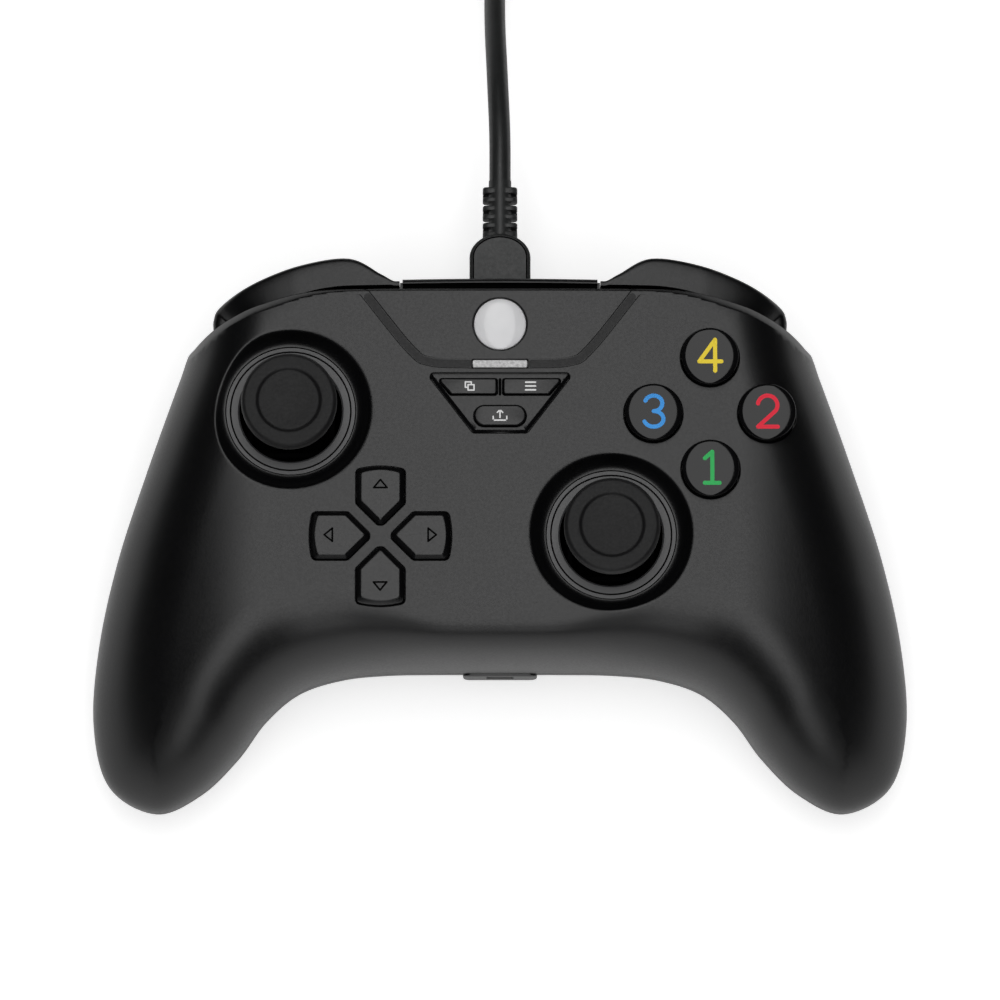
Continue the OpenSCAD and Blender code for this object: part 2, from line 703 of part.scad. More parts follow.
// Highest top that stays under the face's shell with the bumper pressed
function bumper_top(out, back) =
    min([for (level = bumper_levels) if (level[1] > 0.3)
        let (p = mix(out, back, level[0]) - [0, bumper_press])
        bumper_low + (front_z(p, front_line, wall) - roof_gap - bumper_low) / level[1]]);

module bumper(side) {
    out = bumper_side(bumper_outer);
    back = bumper_side(bumper_inner);
    n = len(out);
    tops = [for (i = [0:n - 1]) bumper_top(out[i], back[i])];
    eye_low = lug_low + lug_t + key_gap;
    eye_high = eye_low + 6;
    color(gloss_black)
        mirror([side < 0 ? 1 : 0, 0, 0])
            difference() {
                union() {
                    loft([for (level = bumper_levels) concat(
                        [for (i = [0:n - 1]) let (p = mix(out[i], back[i], level[0]))
                            [p.x, p.y, mix(bumper_low, tops[i], level[1])]],
                        [for (i = [n - 1:-1:0]) [back[i].x, back[i].y, mix(bumper_low, tops[i], level[1])]])]);
                    rod(bumper_hinge, bumper_eye_r, eye_low, eye_high);
                    block([bumper_hinge.x - 1.6, bumper_hinge.y, eye_low],
                        [bumper_hinge.x + 3, face_edge - 2, eye_high]);
                }
                rod(bumper_hinge, bumper_pin_r + run_gap, bumper_low - 1, face_z);
            }
}

trigger_reaches = [[0, -0.9], [0.25, 0], [0.53, -1.1], [0.78, -3.8], [1, -7.4]];
trigger_profile = [[0, 1], [0.18, 0.8], [0.36, 0.56], [0.58, 0.3], [0.86, 0.08], [1, 0]];

module trigger(side) {
    stations = open_curve([for (k = trigger_reaches)
        [mix(pull_in, pull_out, k.x), trigger_reach + k.y]], 2);
    last = len(stations) - 1;
    root_y = face_edge + 1.4;
    function skin(reach, inset) = [for (k = trigger_profile)
        [mix(root_y, reach, k.x) - inset, mix(trigger_lip, trigger_top, k.y)]];
    color(gloss_black)
        mirror([side < 0 ? 1 : 0, 0, 0])
            difference() {
                union() {
                    loft([for (s = stations) [for (p = concat(skin(s.y, 0), reversed(skin(s.y, trigger_t))))
                        [s.x, min(p.x, s.y), p.y]]]);
                    for (end = [[pull_in + 0.3, stations[1].y], [pull_out - 0.3 - web_t, stations[last].y]])
                        wall_x(concat(skin(end.y, trigger_t / 2), [[pivot_y, trigger_pivot_z - trigger_hub_r + 0.2],
                            [pivot_y, trigger_pivot_z + trigger_hub_r - 0.2]]), end.x, end.x + web_t);
                    along_x([pivot_y, trigger_pivot_z], trigger_hub_r, pull_in, pull_in + hub_l);
                    along_x([pivot_y, trigger_pivot_z], trigger_hub_r, pull_out - hub_l, pull_out);
                }
                along_x([pivot_y, trigger_pivot_z], trigger_pin_r + run_gap, pull_in - 1, pull_out + 1);
            }
}

module trigger_frame() {
    back = pocket_back - back_t;
    inner = pocket_in + cheek_gap;
    outer = pocket_out - cheek_gap;
    bar = [20, 23];
    steps = 6;
    foot = [for (k = [0:steps]) let (x = mix(inner, outer, k / steps)) [x, rear_z([x, back], rear_line, 0) + key_gap]];
    color(frame_grey)
        difference() {
            union() {
                for (side = sides)
                    mirror([side < 0 ? 1 : 0, 0, 0]) {
                        wall_y(concat(foot, [[outer, frame_high], [inner, frame_high]]), back, pocket_back);
                        for (x = [inner, outer - cheek_t])
                            block([x, pocket_back - 1, trigger_pivot_z - 4], [x + cheek_t, pivot_y + 2.6, frame_high]);
                    }
                block([-inner - 1, back, bar.x], [inner + 1, pocket_back, bar.y]);
            }
            along_x([pivot_y, trigger_pivot_z], trigger_pin_r + 0.02, -60, 60);
        }
}

module trigger_pins() {
    color(steel)
        for (side = sides)
            mirror([side < 0 ? 1 : 0, 0, 0])
                along_x([pivot_y, trigger_pivot_z], trigger_pin_r, pocket_in + cheek_gap, pocket_out - cheek_gap);
}

module trigger_spring(side) {
    turns = 4;
    start = (pull_in + pull_out) / 2 - 2.4;
    wire = 0.35;
    pitch = 1.2;
    coil_r = pivot_y - pocket_back - wire - key_gap;
    leg = 6;
    arm = 5.6;
    centre = [start, pivot_y, trigger_pivot_z];
    curl = [for (i = [0:turns * 8 + 2])
        centre + [i * pitch / 8, -coil_r * cos(45 * i), coil_r * sin(45 * i)]];
    finish = curl[len(curl) - 1];
    color(steel)
        mirror([side < 0 ? 1 : 0, 0, 0])
            tube(concat([centre + [0, -coil_r, -leg], centre + [0, -coil_r, -leg / 2]], curl,
                [finish + [0, arm / 2, 0], finish + [0, arm, 0]]), wire, 6, [1, 0, 0]);
}

// Sticks

module stick_ring(at) {
    color(ring_grey)
        translate([at.x, at.y, 0])
            rotate_extrude()
                polygon([[ring_hole_r, ring_seat], [ring_r, ring_seat], [ring_r, ring_top], [11.25, ring_top],
                    [11.25, ring_top - 0.3], [11, ring_top - 0.3], [11, ring_top],
                    [ring_hole_r + 0.3, ring_top], [ring_hole_r, ring_top - 0.3]]);
}

module stick_frame(at) {
    top = pivot_z + frame_top;
    inner = frame_half - frame_wall;
    color(steel)
        translate([at.x, at.y, 0])
            difference() {
                block([-frame_half, -frame_half, board_top], [frame_half, frame_half, top]);
                block([-inner, -inner, board_top + 0.8], [inner, inner, top + 1]);
                rod([0, 0], 2.8, board_top - 1, board_top + 2);
                along_x([0, pivot_z], trunnion_r + run_gap, -frame_half - 1, frame_half + 1);
                along_y([0, pivot_z], trunnion_r + run_gap, -frame_half - 1, frame_half + 1);
            }
}

module pitch_yoke(at) {
    color(frame_grey)
        translate([at.x, at.y, pivot_z])
            difference() {
                union() {
                    block([-yoke_half, -yoke_half, -yoke_t], [yoke_half, yoke_half, yoke_t]);
                    along_x([0, 0], trunnion_r, -trunnion_end, trunnion_end);
                }
                block([-yoke_hole, -yoke_hole, -yoke_t - 1], [yoke_hole, yoke_hole, yoke_t + 1]);
                along_y([0, 0], hub_pin_r + run_gap, -yoke_half - 1, yoke_half + 1);
            }
}

module pivot_hub(at) {
    color("ivory")
        translate([at.x, at.y, pivot_z])
            difference() {
                union() {
                    block([-hub_x, -hub_y, -hub_z], [hub_x, hub_y, hub_z]);
                    along_y([0, 0], hub_pin_r, -yoke_half + 0.1, yoke_half - 0.1);
                }
                rod([0, 0], shaft_r + run_gap, -hub_z - 1, hub_z + 1);
            }
}

module roll_arch(at) {
    color(frame_grey)
        translate([at.x, at.y, pivot_z])
            difference() {
                union() {
                    intersection() {
                        along_x([0, 0], arch_out, -arch_half, arch_half);
                        block([-arch_half, -arch_out, -1.4], [arch_half, arch_out, arch_out]);
                    }
                    along_y([0, 0], trunnion_r, -trunnion_end, trunnion_end);
                }
                along_x([0, 0], arch_in, -arch_half - 1, arch_half + 1);
                block([-arch_slot, -arch_slot_y, 0], [arch_slot, arch_slot_y, arch_out + 1]);
            }
}

module stick_shaft(at) {
    color(steel)
        translate([at.x, at.y, pivot_z])
            union() {
                rod([0, 0], shaft_r, -shaft_low, shaft_top);
                rod([0, 0], shaft_r + 0.3, shaft_top - 2, shaft_top);
            }
}

module stick_cap(at) {
    rim = cap_rise - cap_t;
    dome_in = dome_r - dome_t;
    arc = [for (k = [0:6]) k * dome_angle / 6];
    socket_r = shaft_r + 0.35;
    color(gloss_black)
        translate([at.x, at.y, pivot_z])
            rotate_extrude()
                polygon(concat(
                    [[0, shaft_top + 0.1], [socket_r, shaft_top + 0.1], [socket_r, dome_in * cos(asin(socket_r / dome_in))]],
                    [for (a = arc) if (dome_in * sin(a) > socket_r + 0.1) dome_in * [sin(a), cos(a)]],
                    [for (a = reversed(arc)) if (dome_r * sin(a) > neck_r + 0.1) dome_r * [sin(a), cos(a)]],
                    [[neck_r, dome_r * cos(asin(neck_r / dome_r))], [neck_r, rim - 1.2], [neck_r + 0.8, rim - 0.3],
                        [neck_r + 2, rim], [cap_r - 0.9, rim], [cap_r - 0.25, rim + 0.3], [cap_r, rim + 1],
                        [cap_r, cap_rise - 1.6], [cap_r - 0.2, cap_rise - 0.7], [cap_r - 0.9, cap_rise - 0.1],
                        [cap_r - 1.5, cap_rise], [6.3, cap_rise - 0.2], [6, cap_rise - 0.7],
                        [4, cap_rise - 1.1], [2, cap_rise - 1.3], [0, cap_rise - 1.35]]));
}

module stick_sensors() {
    depth = 3.2;
    color("#23262b")
        for (stick = [[left_stick, -1], [right_stick, 1]])
            translate([stick[0].x, stick[0].y, 0]) {
                block([stick[1] > 0 ? frame_half : -frame_half - depth, -4.5, board_top],
                    [stick[1] > 0 ? frame_half + depth : -frame_half, 4.5, pivot_z + 1.5]);
                block([-4.5, -frame_half - depth, board_top], [4.5, -frame_half, pivot_z + 1.5]);
            }
}

module tact_switches() {
    color("silver") {
        for (at = [left_stick, right_stick])
            rod(at, 2.4, board_top, board_top + 1);
        for (side = sides)
            mirror([side < 0 ? 1 : 0, 0, 0]) {
                translate([switch_at.x, switch_at.y, board_top])
                    cube(switch_size);
                along_y([switch_at.x + switch_size.x / 2, board_top + switch_size.z / 2], 1, switch_at.y + 1,
                    switch_at.y + switch_size.y + plunger_reach);
            }
    }
}

// Keys

module face_button(angle) {
    at = button_at(angle);
    top = face_z + button_rise;
    color(gloss_black)
        translate([at.x, at.y, 0])
            rotate_extrude()
                polygon(concat(
                    [[0, flange_low], [button_r + button_flange, flange_low], [button_r + button_flange, flange_top], [button_r, flange_top],
                        [button_r, top - 1.5]],
                    [for (k = [1:5]) [button_r * cos(18 * k), top - 1.5 + 1.5 * sin(18 * k)]]));
}

module direction_key(angle) {
    color(key_black)
        translate([dpad_at.x, dpad_at.y, 0])
            rotate(angle - 90)
                union() {
                    hull() {
                        slab(key_points(0), flange_top, face_z + dpad_rise - 0.9);
                        slab(key_points(-1.1), flange_top, face_z + dpad_rise);
                    }
                    block([-dpad_w / 2 - 0.9, dpad_reach - 6.2, flange_low],
                        [dpad_w / 2 + 0.9, dpad_reach + 0.6, flange_top]);
                    slab(key_points(-0.4), flange_low, flange_top + 0.1);
                }
}

// A key with a stem that reaches down to its rubber dome
stem_low = board_top + 3.5;
plate_gap = 0.3;
small_top = face_z - wall - plate_gap;
home_dome = [0, home_y - 3.6];
menu_dome = [5.2, (menu_top + menu_low) / 2];

module home_button() {
    top = face_z + 0.5;
    crest = 0.8;
    low = guide_low + 1.2 - key_gap;
    color("gainsboro")
        union() {
            translate([home_at.x, home_at.y, 0])
                rotate_extrude()
                    polygon(concat(
                        [[0, low - 1], [home_r + 1, low - 1], [home_r + 1, low], [home_r, low], [home_r, top - crest]],
                        [for (k = [1:5]) [home_r * cos(18 * k), top - crest + crest * sin(18 * k)]]));
            rod(home_dome, 1.4, stem_low, low - 0.5);
        }
}

module menu_key(side) {
    color(key_black)
        union() {
            slab(menu_points(side, 0, 0), small_top - 1, face_z - 0.1);
            slab(menu_points(side, 0.9, 0.25), small_top - 1, small_top);
            rod([side * menu_dome.x, menu_dome.y], 1.4, stem_low, small_top - 0.5);
        }
}

module share_button() {
    color(key_black)
        translate([pill_at.x, pill_at.y, 0])
            union() {
                slab(rounded(box_points(pill_l, pill_w), pill_w / 2 - 0.05, 8), small_top - 1, face_z + 0.1);
                slab(rounded(box_points(pill_l + 1.6, pill_w + 1.6), pill_w / 2, 8), small_top - 1, small_top);
                rod([0, 0], 1.4, stem_low, small_top - 0.5);
            }
}

module status_light() {
    color("whitesmoke")
        translate([light_at.x, light_at.y, 0])
            union() {
                slab(rounded(box_points(light_l, light_w), 0.35), face_z - wall - 1.5, face_z + 0.05);
                slab(rounded(box_points(light_l + 2, light_w + 1.4), 0.6), face_z - wall - 1.5, face_z - wall);
            }
}

module dome(at, radius, top) {
    rod(at, radius, board_top + mat_t - eps, top - 1.2);
    rod(at, radius - 1, top - 1.3, top);
}

module face_mat() {
    color(mat_grey)
        union() {
            for (angle = [0, 90])
                translate([face_at.x, face_at.y, 0])
                    rotate(angle)
                        slab(rounded(box_points(2 * face_pitch + 8.4, 10), 4), board_top, board_top + mat_t);
            for (angle = quarter_turns)
                dome(button_at(angle), 4, flange_low - mat_gap);
        }
}

module dpad_mat() {
    color(mat_grey)
        union() {
            rod(dpad_at, dpad_reach + 0.6, board_top, board_top + mat_t);
            for (angle = quarter_turns)
                dome(around(dpad_at, angle, dpad_reach - 4), 3.4, flange_low - mat_gap);
        }
}

module menu_mat() {
    half = 8.6;
    low = pill_at.y - 3.4;
    high = home_y - 1.2;
    color(mat_grey)
        union() {
            slab(rounded([[-half, low], [half, low], [half, high], [-half, high]], 2), board_top, board_top + mat_t);
            for (at = [pill_at, mirrored(menu_dome), menu_dome, home_dome])
                dome(at, 2.2, stem_low - mat_gap);
        }
}

// Boards and inner parts

board_half = [[0, face_edge - 1.6], [20, face_edge - 1.6], [20, 33.6], [50.4 * wide, 33.6], [55 * wide, 28.4],
    [55 * wide, 12.6], [45.6 * wide, 12.6], [45.6 * wide, -4], [34 * wide, -19], [0, -19]];

module main_board() {
    points = concat(board_half, [for (p = reversed(board_half)) if (p.x > 0) mirrored(p)]);
    color(board_green)
        difference() {
            slab(points, board_top - board_t, board_top);
            for (p = board_posts)
                rod(p, pilot_r + 0.2, board_top - board_t - 1, board_top + 1);
        }
}

module screw(at, low, length) {
    rod(at, screw_head_r, low, low + screw_head_t);
    rod(at, screw_r, low, low + screw_head_t + length);
}

module housing_screws() {
    color(steel)
        for (p = housing_posts, side = sides)
            screw([side * p.x, p.y], screw_seat(p), parting(p.y) + screw_bite - screw_seat(p) - screw_head_t);
}

module board_screws() {
    color(steel)
        for (p = board_posts)
            screw(p, board_top - board_t - screw_head_t, 7);
}

module usb_socket() {
    length = 7.6;
    y = plug_start - 0.2;
    color(steel)
        translate([0, y, plug_z])
            rotate([90, 0, 0])
                difference() {
                    linear_extrude(length)
                        polygon(rounded(box_points(9, 3.2), 1.5));
                    translate([0, 0, -1])
                        linear_extrude(length)
                            polygon(rounded(box_points(8.5, 2.7), 1.3));
                }
}

module headset_jack() {
    color("#101012")
        difference() {
            union() {
                block([-jack_half, jack_mouth + 0.6, jack_z - jack_half],
                    [jack_half, jack_mouth + jack_l + 1, jack_z + jack_half]);
                along_y([0, jack_z], jack_nose_r, jack_mouth, jack_mouth + 2);
            }
            along_y([0, jack_z], jack_r, jack_mouth - 1, jack_mouth + jack_l);
        }
}

module audio_board() {
    low = jack_z + jack_half;
    color(board_green)
        block([-jack_half - 3.4, -waist + 4.4, low], [jack_half + 3.4, jack_mouth + jack_l + 4, low + audio_t]);
}

module rumble_motor(side) {
    color(steel)
        union() {
            along_y([side * motor_x, motor_z], motor_r, motor_y, motor_y + motor_l);
            along_y([side * motor_x, motor_z], 0.9, motor_y - weight_t - 0.8, motor_y);
        }
}

module rumble_weight(side) {
    color("#8d8f93")
        translate([side * motor_x, motor_y - 0.5, motor_z])
            rotate([90, 0, 0])
                linear_extrude(weight_t)
                    difference() {
                        union() {
                            intersection() {
                                circle(weight_r);
                                translate([-weight_r, -weight_r])
                                    square([2 * weight_r, weight_r]);
                            }
                            circle(2.2);
                        }
                        circle(0.9 + run_gap);
                    }
}

// Lead

function spiral_point(angle, radius, z) = [coil_at.x - radius * cos(angle), coil_at.y + radius * sin(angle), z];
function layer_points(layer) =
    let (z = lay_z + layer * layer_pitch, first = layer % 2 == 0 ? coil_out : coil_in,
        last = layer % 2 == 0 ? coil_in : coil_out, start = layer * 180, count = coil_turns * loop_rings)
    [for (i = [0:count]) spiral_point(start + 360 * i / loop_rings, mix(first, last, i / count), z)];
function climb_points(layer) =
    let (radius = layer % 2 == 0 ? coil_in : coil_out, start = layer * 180, half = loop_rings / 2)
    [for (i = [1:half - 1]) spiral_point(start + 360 * i / loop_rings, radius,
        lay_z + (layer + ease(i / half)) * layer_pitch)];
coil_start = [coil_at.x - coil_out, coil_at.y - cord_d, lay_z];
coil_end = [coil_at.x + coil_out, coil_at.y - cord_d, coil_top];
function coil_path() =
    [coil_start, for (layer = [0:coil_layers - 1])
        each concat(layer_points(layer), layer < coil_layers - 1 ? climb_points(layer) : []), coil_end];
function least_gap(path, skip) =
    min([for (i = [0:len(path) - skip - 1]) for (j = [i + skip:len(path) - 1]) norm(path[i] - path[j])]) - cord_d;
function path_length(path) = len(path) < 2 ? 0 : [for (i = [1:len(path) - 1]) norm(path[i] - path[i - 1])]
    * [for (i = [1:len(path) - 1]) 1];

module cable_plug() {
    rounding = 2.2;
    neck_w = 3.9;
    pitch = (relief_end - plug_end) / 4;
    color(cable_black)
        union() {
            hull()
                for (x = sides, z = sides) {
                    along_y([x * (plug_w / 2 - rounding), plug_z + z * (plug_t / 2 - rounding)], rounding,
                        plug_start, plug_end - 3, $fn = 32);
                    along_y([x * (plug_w / 2 - rounding - 1.6), plug_z + z * (plug_t / 2 - rounding - 0.4)], rounding,
                        plug_start, plug_end, $fn = 32);
                }
            along_y([0, plug_z], neck_w / 2 + 0.2, plug_end - 1, relief_end);
            for (i = [0:3])
                translate([0, plug_end + i * pitch, plug_z])
                    rotate([-90, 0, 0])
                        linear_extrude(pitch * 0.62)
                            polygon(rounded(box_points(relief_w, relief_w - 1), 1.8));
            translate([0, plug_start + 1, plug_z])
                rotate([90, 0, 0])
                    linear_extrude(7)
                        polygon(rounded(box_points(8.3, 2.5), 1.2));
        }
}

module cable_lead() {
    color(cable_black)
        tube(lead_route, cord_r, cord_sides);
}

module cable_coil() {
    path = coil_path();
    echo(least_gap = least_gap(path, loop_rings / 2), coil_length = path_length(path));
    color(cable_black)
        tube(path, cord_r, loop_sides);
}

module cable_tail() {
    color(cable_black)
        tube([for (p = tail_route) [coil_at.x + p.x, coil_at.y + p.y, p.z]], cord_r, cord_sides);
}

module usb_plug() {
    boot = 8;
    shell_size = [12, 12, 4.5];
    color(cable_black)
        translate([coil_at.x + tail_end.x, coil_at.y + tail_end.y, usb_z])
            rotate([0, -90, 0])
                union() {
                    cylinder(r1 = cord_r + 0.6, r2 = cord_r + 1.6, h = boot);
                    translate([0, 0, boot])
                        linear_extrude(usb_size.x)
                            polygon(rounded(box_points(usb_size.z, usb_size.y), 2.4));
                    translate([0, 0, boot + usb_size.x])
                        linear_extrude(shell_size.x)
                            polygon(rounded(box_points(shell_size.z, shell_size.y), 0.5));
                }
}

module cable_tie() {
    inner = sqrt(pow(coil_in * cos(180 / loop_rings) - cord_r, 2) - tie_w * tie_w / 4) - tie_gap;
    outer = coil_out + cord_r + tie_gap;
    low = lay_z - cord_r - tie_gap;
    high = coil_top + cord_r + tie_gap;
    color("#2a2a2c")
        translate([coil_at.x - tie_w / 2, coil_at.y, 0])
            difference() {
                block([0, inner - tie_t, low - tie_t], [tie_w, outer + tie_t, high + tie_t]);
                block([-1, inner, low], [tie_w + 1, outer, high]);
            }
}

front_housing();
rear_housing();
top_bridge();
bumper(-1);  // left_bumper
bumper(1);  // right_bumper
trigger(-1);  // left_trigger
trigger(1);  // right_trigger
trigger_frame();
trigger_pins();
trigger_spring(-1);  // left_trigger_spring
trigger_spring(1);  // right_trigger_spring
stick_ring(left_stick);  // left_stick_ring
stick_ring(right_stick);  // right_stick_ring
stick_cap(left_stick);  // left_stick_cap
stick_cap(right_stick);  // right_stick_cap
stick_shaft(left_stick);  // left_stick_shaft
stick_shaft(right_stick);  // right_stick_shaft
pivot_hub(left_stick);  // left_pivot_hub
pivot_hub(right_stick);  // right_pivot_hub
pitch_yoke(left_stick);  // left_pitch_yoke
pitch_yoke(right_stick);  // right_pitch_yoke
roll_arch(left_stick);  // left_roll_arch
roll_arch(right_stick);  // right_roll_arch
stick_frame(left_stick);  // left_stick_frame
stick_frame(right_stick);  // right_stick_frame
stick_sensors();
tact_switches();
face_button(0);  // right_button
face_button(90);  // top_button
face_button(180);  // left_button
face_button(270);  // bottom_button
direction_key(0);  // dpad_right
direction_key(90);  // dpad_up
direction_key(180);  // dpad_left
direction_key(270);  // dpad_down
home_button();
menu_key(-1);  // view_button
menu_key(1);  // menu_button
share_button();
status_light();
face_mat();
dpad_mat();
menu_mat();
main_board();
board_screws();
housing_screws();
usb_socket();
headset_jack();
audio_board();
rumble_motor(-1);  // left_rumble_motor
rumble_motor(1);  // right_rumble_motor
rumble_weight(-1);  // left_rumble_weight
rumble_weight(1);  // right_rumble_weight
cable_plug();
cable_lead();
cable_coil();
cable_tail();
usb_plug();
cable_tie();
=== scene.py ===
"""Looks of a gamepad controller that lies face up on a pale floor, seen from almost straight above.

Lengths are in millimetres until a mesh is made; +X is right, +Y points away from the player, +Z is up.
"""

import logging
import math
from collections.abc import Callable, Sequence
from dataclasses import dataclass, field
from enum import Enum
from functools import partial

import bmesh
import bpy
import numpy as np
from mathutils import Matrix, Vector
from mathutils.geometry import delaunay_2d_cdt


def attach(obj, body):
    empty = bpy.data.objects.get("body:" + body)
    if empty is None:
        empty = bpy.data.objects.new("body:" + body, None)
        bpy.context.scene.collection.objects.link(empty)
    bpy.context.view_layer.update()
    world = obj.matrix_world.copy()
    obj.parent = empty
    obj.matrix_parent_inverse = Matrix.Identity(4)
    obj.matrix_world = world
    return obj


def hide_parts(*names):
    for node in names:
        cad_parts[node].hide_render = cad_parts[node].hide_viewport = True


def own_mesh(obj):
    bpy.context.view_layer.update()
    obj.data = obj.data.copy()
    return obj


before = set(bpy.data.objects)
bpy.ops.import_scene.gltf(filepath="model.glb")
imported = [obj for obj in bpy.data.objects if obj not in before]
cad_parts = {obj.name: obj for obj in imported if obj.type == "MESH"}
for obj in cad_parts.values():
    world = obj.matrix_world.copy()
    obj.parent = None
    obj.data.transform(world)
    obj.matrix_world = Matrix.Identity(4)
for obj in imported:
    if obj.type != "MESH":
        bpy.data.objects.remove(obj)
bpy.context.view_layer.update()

log = logging.getLogger("gamepad")
Point = tuple[float, float]
Rows = list[tuple[np.ndarray, bool]]
MM = 0.001
HOUSING = "housing"
AXIS = 0.001  # radius at which a turned profile meets its axis
ON_RIM = 0.002  # points this close to an outline lie on it
FLOOR_GAP = 0.03  # lowest point of the rear shell above the floor
QUARTERS = (0, 90, 180, 270)


# Finishes


def linear(hex_colour: str) -> tuple[float, float, float, float]:
    """One sRGB hex colour as linear RGBA."""
    parts = [int(hex_colour[i : i + 2], 16) / 255 for i in (1, 3, 5)]
    red, green, blue = (c / 12.92 if c <= 0.04045 else ((c + 0.055) / 1.055) ** 2.4 for c in parts)
    return red, green, blue, 1.0


def clean_tree(owner: bpy.types.Material | bpy.types.World) -> bpy.types.NodeTree:
    """The emptied node tree of a material or world."""
    owner.use_nodes = True
    owner.node_tree.nodes.clear()
    return owner.node_tree


def add_node(
    tree: bpy.types.NodeTree, kind: str, settings: dict | None = None, inputs: dict | None = None
) -> bpy.types.Node:
    """Adds one shader node.

    Args:
        tree: Node tree that takes the node.
        kind: Blender's name of the node type, without its prefix.
        settings: Values of the node's own properties.
        inputs: Values of its sockets; a socket as value becomes a link.

    Returns:
        The new node.
    """
    node = tree.nodes.new("ShaderNode" + kind)
    for key, value in (settings or {}).items():
        setattr(node, key, value)
    for key, value in (inputs or {}).items():
        if isinstance(value, bpy.types.NodeSocket):
            tree.links.new(value, node.inputs[key])
        else:
            node.inputs[key].default_value = value
    return node


def add_tones(
    tree: bpy.types.NodeTree, share: bpy.types.NodeSocket, tones: Sequence[str], span: Point = (0.0, 1.0)
) -> bpy.types.NodeSocket:
    """Adds a ramp between two tones.

    Args:
        tree: Node tree that takes the ramp.
        share: Socket that runs along the ramp.
        tones: Hex colours of its two ends.
        span: Where the ends lie.

    Returns:
        Socket with the colour.
    """
    ramp = add_node(tree, "ValToRGB", inputs={"Fac": share})
    for element, tone, position in zip(ramp.color_ramp.elements, tones, span):
        element.position, element.color = position, linear(tone)
    return ramp.outputs["Color"]


class Texture(Enum):
    """How a surface was made, which sets the pattern of its relief."""

    GRAIN = "spark-eroded mould"
    BRUSHED = "drawn or brushed metal"
    WOVEN = "woven tape"
    SPECKLE = "frosted lens"
    TRACES = "etched copper under lacquer"


@dataclass(frozen=True)
class Finish:
    """One material: what it is, its two close tones, and the size of its relief."""

    name: str
    colour: str
    shade: str
    roughness: Point
    texture: Texture = Texture.GRAIN
    grain_mm: float = 0.45
    depth_mm: float = 0.012
    mottle_mm: float = 9.0
    metallic: float = 0.0
    ior: float = 1.5
    coat: float = 0.0
    coat_roughness: float = 0.06
    sheen: float = 0.0
    glow: float = 0.0
    bump: float = 0.6
    span: Point = (0.3, 0.7)

    def build(self) -> bpy.types.Material:
        """The material, made on first use."""
        known = bpy.data.materials.get(self.name)
        if known:
            return known
        material = bpy.data.materials.new(self.name)
        tree = clean_tree(material)
        place = add_node(tree, "TexCoord").outputs["Object"]
        relief = self.relief(tree, place)
        mottle = relief
        if self.texture in (Texture.GRAIN, Texture.BRUSHED):
            mottle = self.noise(tree, place, self.mottle_mm, 3.0)
        rough = {"Value": relief, "From Min": self.span[0], "From Max": self.span[1]}
        rough |= {"To Min": self.roughness[0], "To Max": self.roughness[1]}
        bump = {"Height": relief, "Distance": self.depth_mm * MM, "Strength": self.bump}
        surface = {
            "Base Color": add_tones(tree, mottle, (self.shade, self.colour), self.span),
            "Roughness": add_node(tree, "MapRange", inputs=rough).outputs["Result"],
            "Normal": add_node(tree, "Bump", inputs=bump).outputs["Normal"],
            "Metallic": self.metallic,
            "IOR": self.ior,
            "Coat Weight": self.coat,
            "Coat Roughness": self.coat_roughness,
            "Sheen Weight": self.sheen,
            "Emission Color": linear(self.colour),
            "Emission Strength": self.glow,
        }
        body = add_node(tree, "BsdfPrincipled", inputs=surface)
        add_node(tree, "OutputMaterial", inputs={"Surface": body.outputs["BSDF"]})
        return material

    @staticmethod
    def noise(
        tree: bpy.types.NodeTree, place: bpy.types.NodeSocket, size_mm: float, detail: float
    ) -> bpy.types.NodeSocket:
        """Adds even noise of one size, 0 to 1."""
        values = {"Vector": place, "Scale": 1 / (size_mm * MM), "Detail": detail}
        return add_node(tree, "TexNoise", inputs=values).outputs["Fac"]

    def relief(self, tree: bpy.types.NodeTree, place: bpy.types.NodeSocket) -> bpy.types.NodeSocket:
        """Adds the nodes of the relief pattern.

        Args:
            tree: Node tree of the material.
            place: Socket with the point on the surface, in metres.

        Returns:
            Socket with the height, 0 to 1.
        """
        scale = 1 / (self.grain_mm * MM)
        if self.texture is Texture.BRUSHED:
            stretch = {"Vector": place, "Scale": (1.0, 0.08, 1.0)}
            place = add_node(tree, "Mapping", inputs=stretch).outputs["Vector"]
        if self.texture is Texture.WOVEN:
            weave = {"Vector": place, "Scale": scale / 20, "Distortion": 0.6}
            warp, weft = (
                add_node(tree, "TexWave", {"bands_direction": way, "wave_profile": "SIN"}, weave).outputs["Fac"]
                for way in ("X", "Y")
            )
            return add_node(tree, "Math", {"operation": "MULTIPLY"}, {0: warp, 1: weft}).outputs[0]
        if self.texture is Texture.TRACES:
            cells = {"distance": "CHEBYCHEV", "feature": "F1"}
            return add_node(tree, "TexVoronoi", cells, {"Vector": place, "Scale": scale}).outputs["Distance"]
        return self.noise(tree, place, self.grain_mm, 6.0 if self.texture is Texture.SPECKLE else 2.0)


# ABS moulded in a spark-eroded tool: an even satin skin whose fine grain blurs the softbox. The real grain is
# about 0.1 mm and is drawn at 0.45 mm so that it shows.
SATIN_ABS = Finish("abs_spark_eroded", "#070708", "#050506", (0.31, 0.38))
# The same ABS left coarse in the groove, where the softbox dies away.
COARSE_ABS = Finish("abs_coarse_eroded", "#060607", "#040405", (0.46, 0.52), ior=1.47, grain_mm=0.6)
# The same ABS in a finer tool on the keys, a little smoother from thumbs.
KEY_ABS = Finish("abs_fine_eroded", "#080809", "#060607", (0.28, 0.35), grain_mm=0.35, depth_mm=0.008)
# ABS moulded in a polished tool: near-mirror skin that shows the edge of the softbox.
GLOSS_ABS = Finish("abs_polished", "#0a0a0b", "#080809", (0.07, 0.11), grain_mm=2.5, depth_mm=0.004, ior=1.38)
